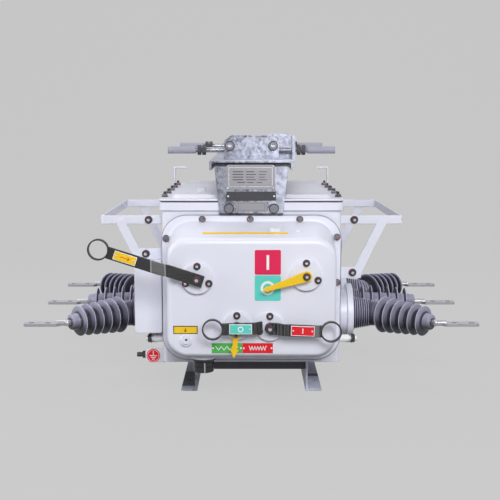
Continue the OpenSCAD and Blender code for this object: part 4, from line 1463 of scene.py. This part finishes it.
class BREAKER_OT_stage(PieceOperator):
    """Sets the floor, the lamps, the world and the camera"""

    bl_idname = "breaker.stage"
    bl_label = "Stage"

    def execute(self, context):
        settings = context.scene.breaker_stage
        self.backdrop(settings)
        self.lamp("key_lamp", (-0.3, 0.75, 2.4), (0, 0, 0.3), (2.2, 1.6), settings.key)
        self.lamp("front_lamp", (0.40, -2.90, 1.62), (0, -0.2, 0.25), (1.5, 1.0), settings.front)
        self.lamp("low_lamp", (0.4, -2.9, 0.25), (0, -0.2, 0.25), (2.2, 0.5), settings.low)
        self.lamp("left_lamp", (-2.3, -0.6, 1.2), (0, 0, 0.25), (1.2, 1.4), settings.side * 1.8)
        self.lamp("right_lamp", (2.3, -0.5, 1.3), (0, 0, 0.25), (1.2, 1.4), settings.side * 0.8)
        self.world(context.scene, settings)
        self.camera(context.scene, settings)
        context.scene.view_settings.view_transform = "Standard"
        return {"FINISHED"}

    @staticmethod
    def backdrop(settings):
        """A floor that curves up into a wall behind the object."""
        bm = bmesh.new()
        rows = [(FLOOR_FRONT, 0.0), (FLOOR_BACK, 0.0)]
        for i in range(1, CURVE_STEPS + 1):
            down, out = polar(CURVE, math.pi / 2 * i / CURVE_STEPS)
            rows.append((FLOOR_BACK + out, CURVE - down))
        rows.append((FLOOR_BACK + CURVE, WALL_TOP))
        rings = [[bm.verts.new((x, y, z)) for x in (-FLOOR_HALF, FLOOR_HALF)] for y, z in rows]
        for low, high in zip(rings, rings[1:]):
            bm.faces.new((low[0], low[1], high[1], high[0]))
        mesh = bpy.data.meshes.new("backdrop")
        bm.to_mesh(mesh)
        bm.free()
        mesh.shade_smooth()
        sh = Shader("backdrop")
        rays = ("Is Camera Ray", "Is Glossy Ray", "Is Transmission Ray")
        seen = sum((sh.make("ShaderNodeLightPath", {}, {}, name) for name in rays), 0.0)
        glow = sh.make("ShaderNodeEmission", {}, {"Color": tuple(settings.backdrop), "Strength": 1.0})
        sh.finish(shade(settings.backdrop, FLOOR_LIT), 0.9)
        lit = Sock(sh, sh.surface.outputs[0])
        mix = sh.make("ShaderNodeMixShader", {}, {0: sh.step(seen, 0.0, 1.0) * FLOOR_GLOW, 1: lit, 2: glow})
        sh.tree.links.new(mix.socket, sh.output.inputs["Surface"])
        mesh.materials.append(sh.material)
        floor = bpy.data.objects.new("backdrop", mesh)
        bpy.context.scene.collection.objects.link(floor)

    @staticmethod
    def lamp(name, at, aim, size, power):
        data = bpy.data.lights.new(name, "AREA")
        data.shape = "RECTANGLE"
        data.size, data.size_y = size
        data.energy = power
        made = bpy.data.objects.new(name, data)
        made.location = at
        made.rotation_euler = (Vector(aim) - Vector(at)).to_track_quat("-Z", "Y").to_euler()
        bpy.context.scene.collection.objects.link(made)

    @staticmethod
    def world(scene, settings):
        world = bpy.data.worlds.new("studio")
        world.use_nodes = True
        back = world.node_tree.nodes["Background"]
        back.inputs["Color"].default_value = (0.93, 0.95, 1.0, 1.0)
        back.inputs["Strength"].default_value = settings.ambient
        scene.world = world

    @staticmethod
    def camera(scene, settings):
        data = bpy.data.cameras.new("camera")
        data.lens = settings.lens
        data.sensor_width = 36.0
        made = bpy.data.objects.new("camera", data)
        made.location = settings.eye
        made.rotation_euler = (math.pi / 2 - settings.pitch, 0, 0)
        scene.collection.objects.link(made)
        scene.camera = made


OPERATORS = (
    BREAKER_OT_stage, BREAKER_OT_frame_finish, BREAKER_OT_mechanism_cover, BREAKER_OT_shaft_bosses,
    BREAKER_OT_bushings, BREAKER_OT_tie_rods, BREAKER_OT_welds, BREAKER_OT_boss_bolts, BREAKER_OT_pivot_bolts,
    BREAKER_OT_cover_bolts, BREAKER_OT_lid_bolts, BREAKER_OT_frame_bolts, BREAKER_OT_turret_bolts,
    BREAKER_OT_position_plates, BREAKER_OT_spring_plates, BREAKER_OT_handle_plates, BREAKER_OT_cover_plates,
    BREAKER_OT_data_plates, BREAKER_OT_earth_mark, BREAKER_OT_fittings,
)
GROUPS = {
    "breaker_paint": PaintSettings, "breaker_hardware": HardwareSettings, "breaker_plate": PlateSettings,
    "breaker_bushing": BushingSettings, "breaker_stage": StageSettings,
}


class BREAKER_PT_sidebar(bpy.types.Panel):
    """Lists the breaker's operators and settings in the sidebar"""

    bl_idname = "BREAKER_PT_sidebar"
    bl_label = "Circuit Breaker"
    bl_space_type = "VIEW_3D"
    bl_region_type = "UI"
    bl_category = "Breaker"

    def draw(self, context):
        for operator in OPERATORS:
            self.layout.operator(operator.bl_idname)
        for group, kind in GROUPS.items():
            box = self.layout.box()
            for name in kind.__annotations__:
                box.prop(getattr(context.scene, group), name)


def register():
    """Registers the classes and hangs the settings on the scene."""
    for group, kind in GROUPS.items():
        bpy.utils.register_class(kind)
        setattr(bpy.types.Scene, group, PointerProperty(type=kind))
    for kind in OPERATORS + (BREAKER_PT_sidebar,):
        bpy.utils.register_class(kind)


def unregister():
    """Takes the classes and the settings away again."""
    for kind in reversed(OPERATORS + (BREAKER_PT_sidebar,)):
        bpy.utils.unregister_class(kind)
    for group, kind in reversed(GROUPS.items()):
        delattr(bpy.types.Scene, group)
        bpy.utils.unregister_class(kind)


def main():
    """Registers the add-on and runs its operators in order."""
    register()
    for operator in OPERATORS:
        group, name = operator.bl_idname.split(".")
        getattr(getattr(bpy.ops, group), name)()


if __name__ == "__main__":
    main()
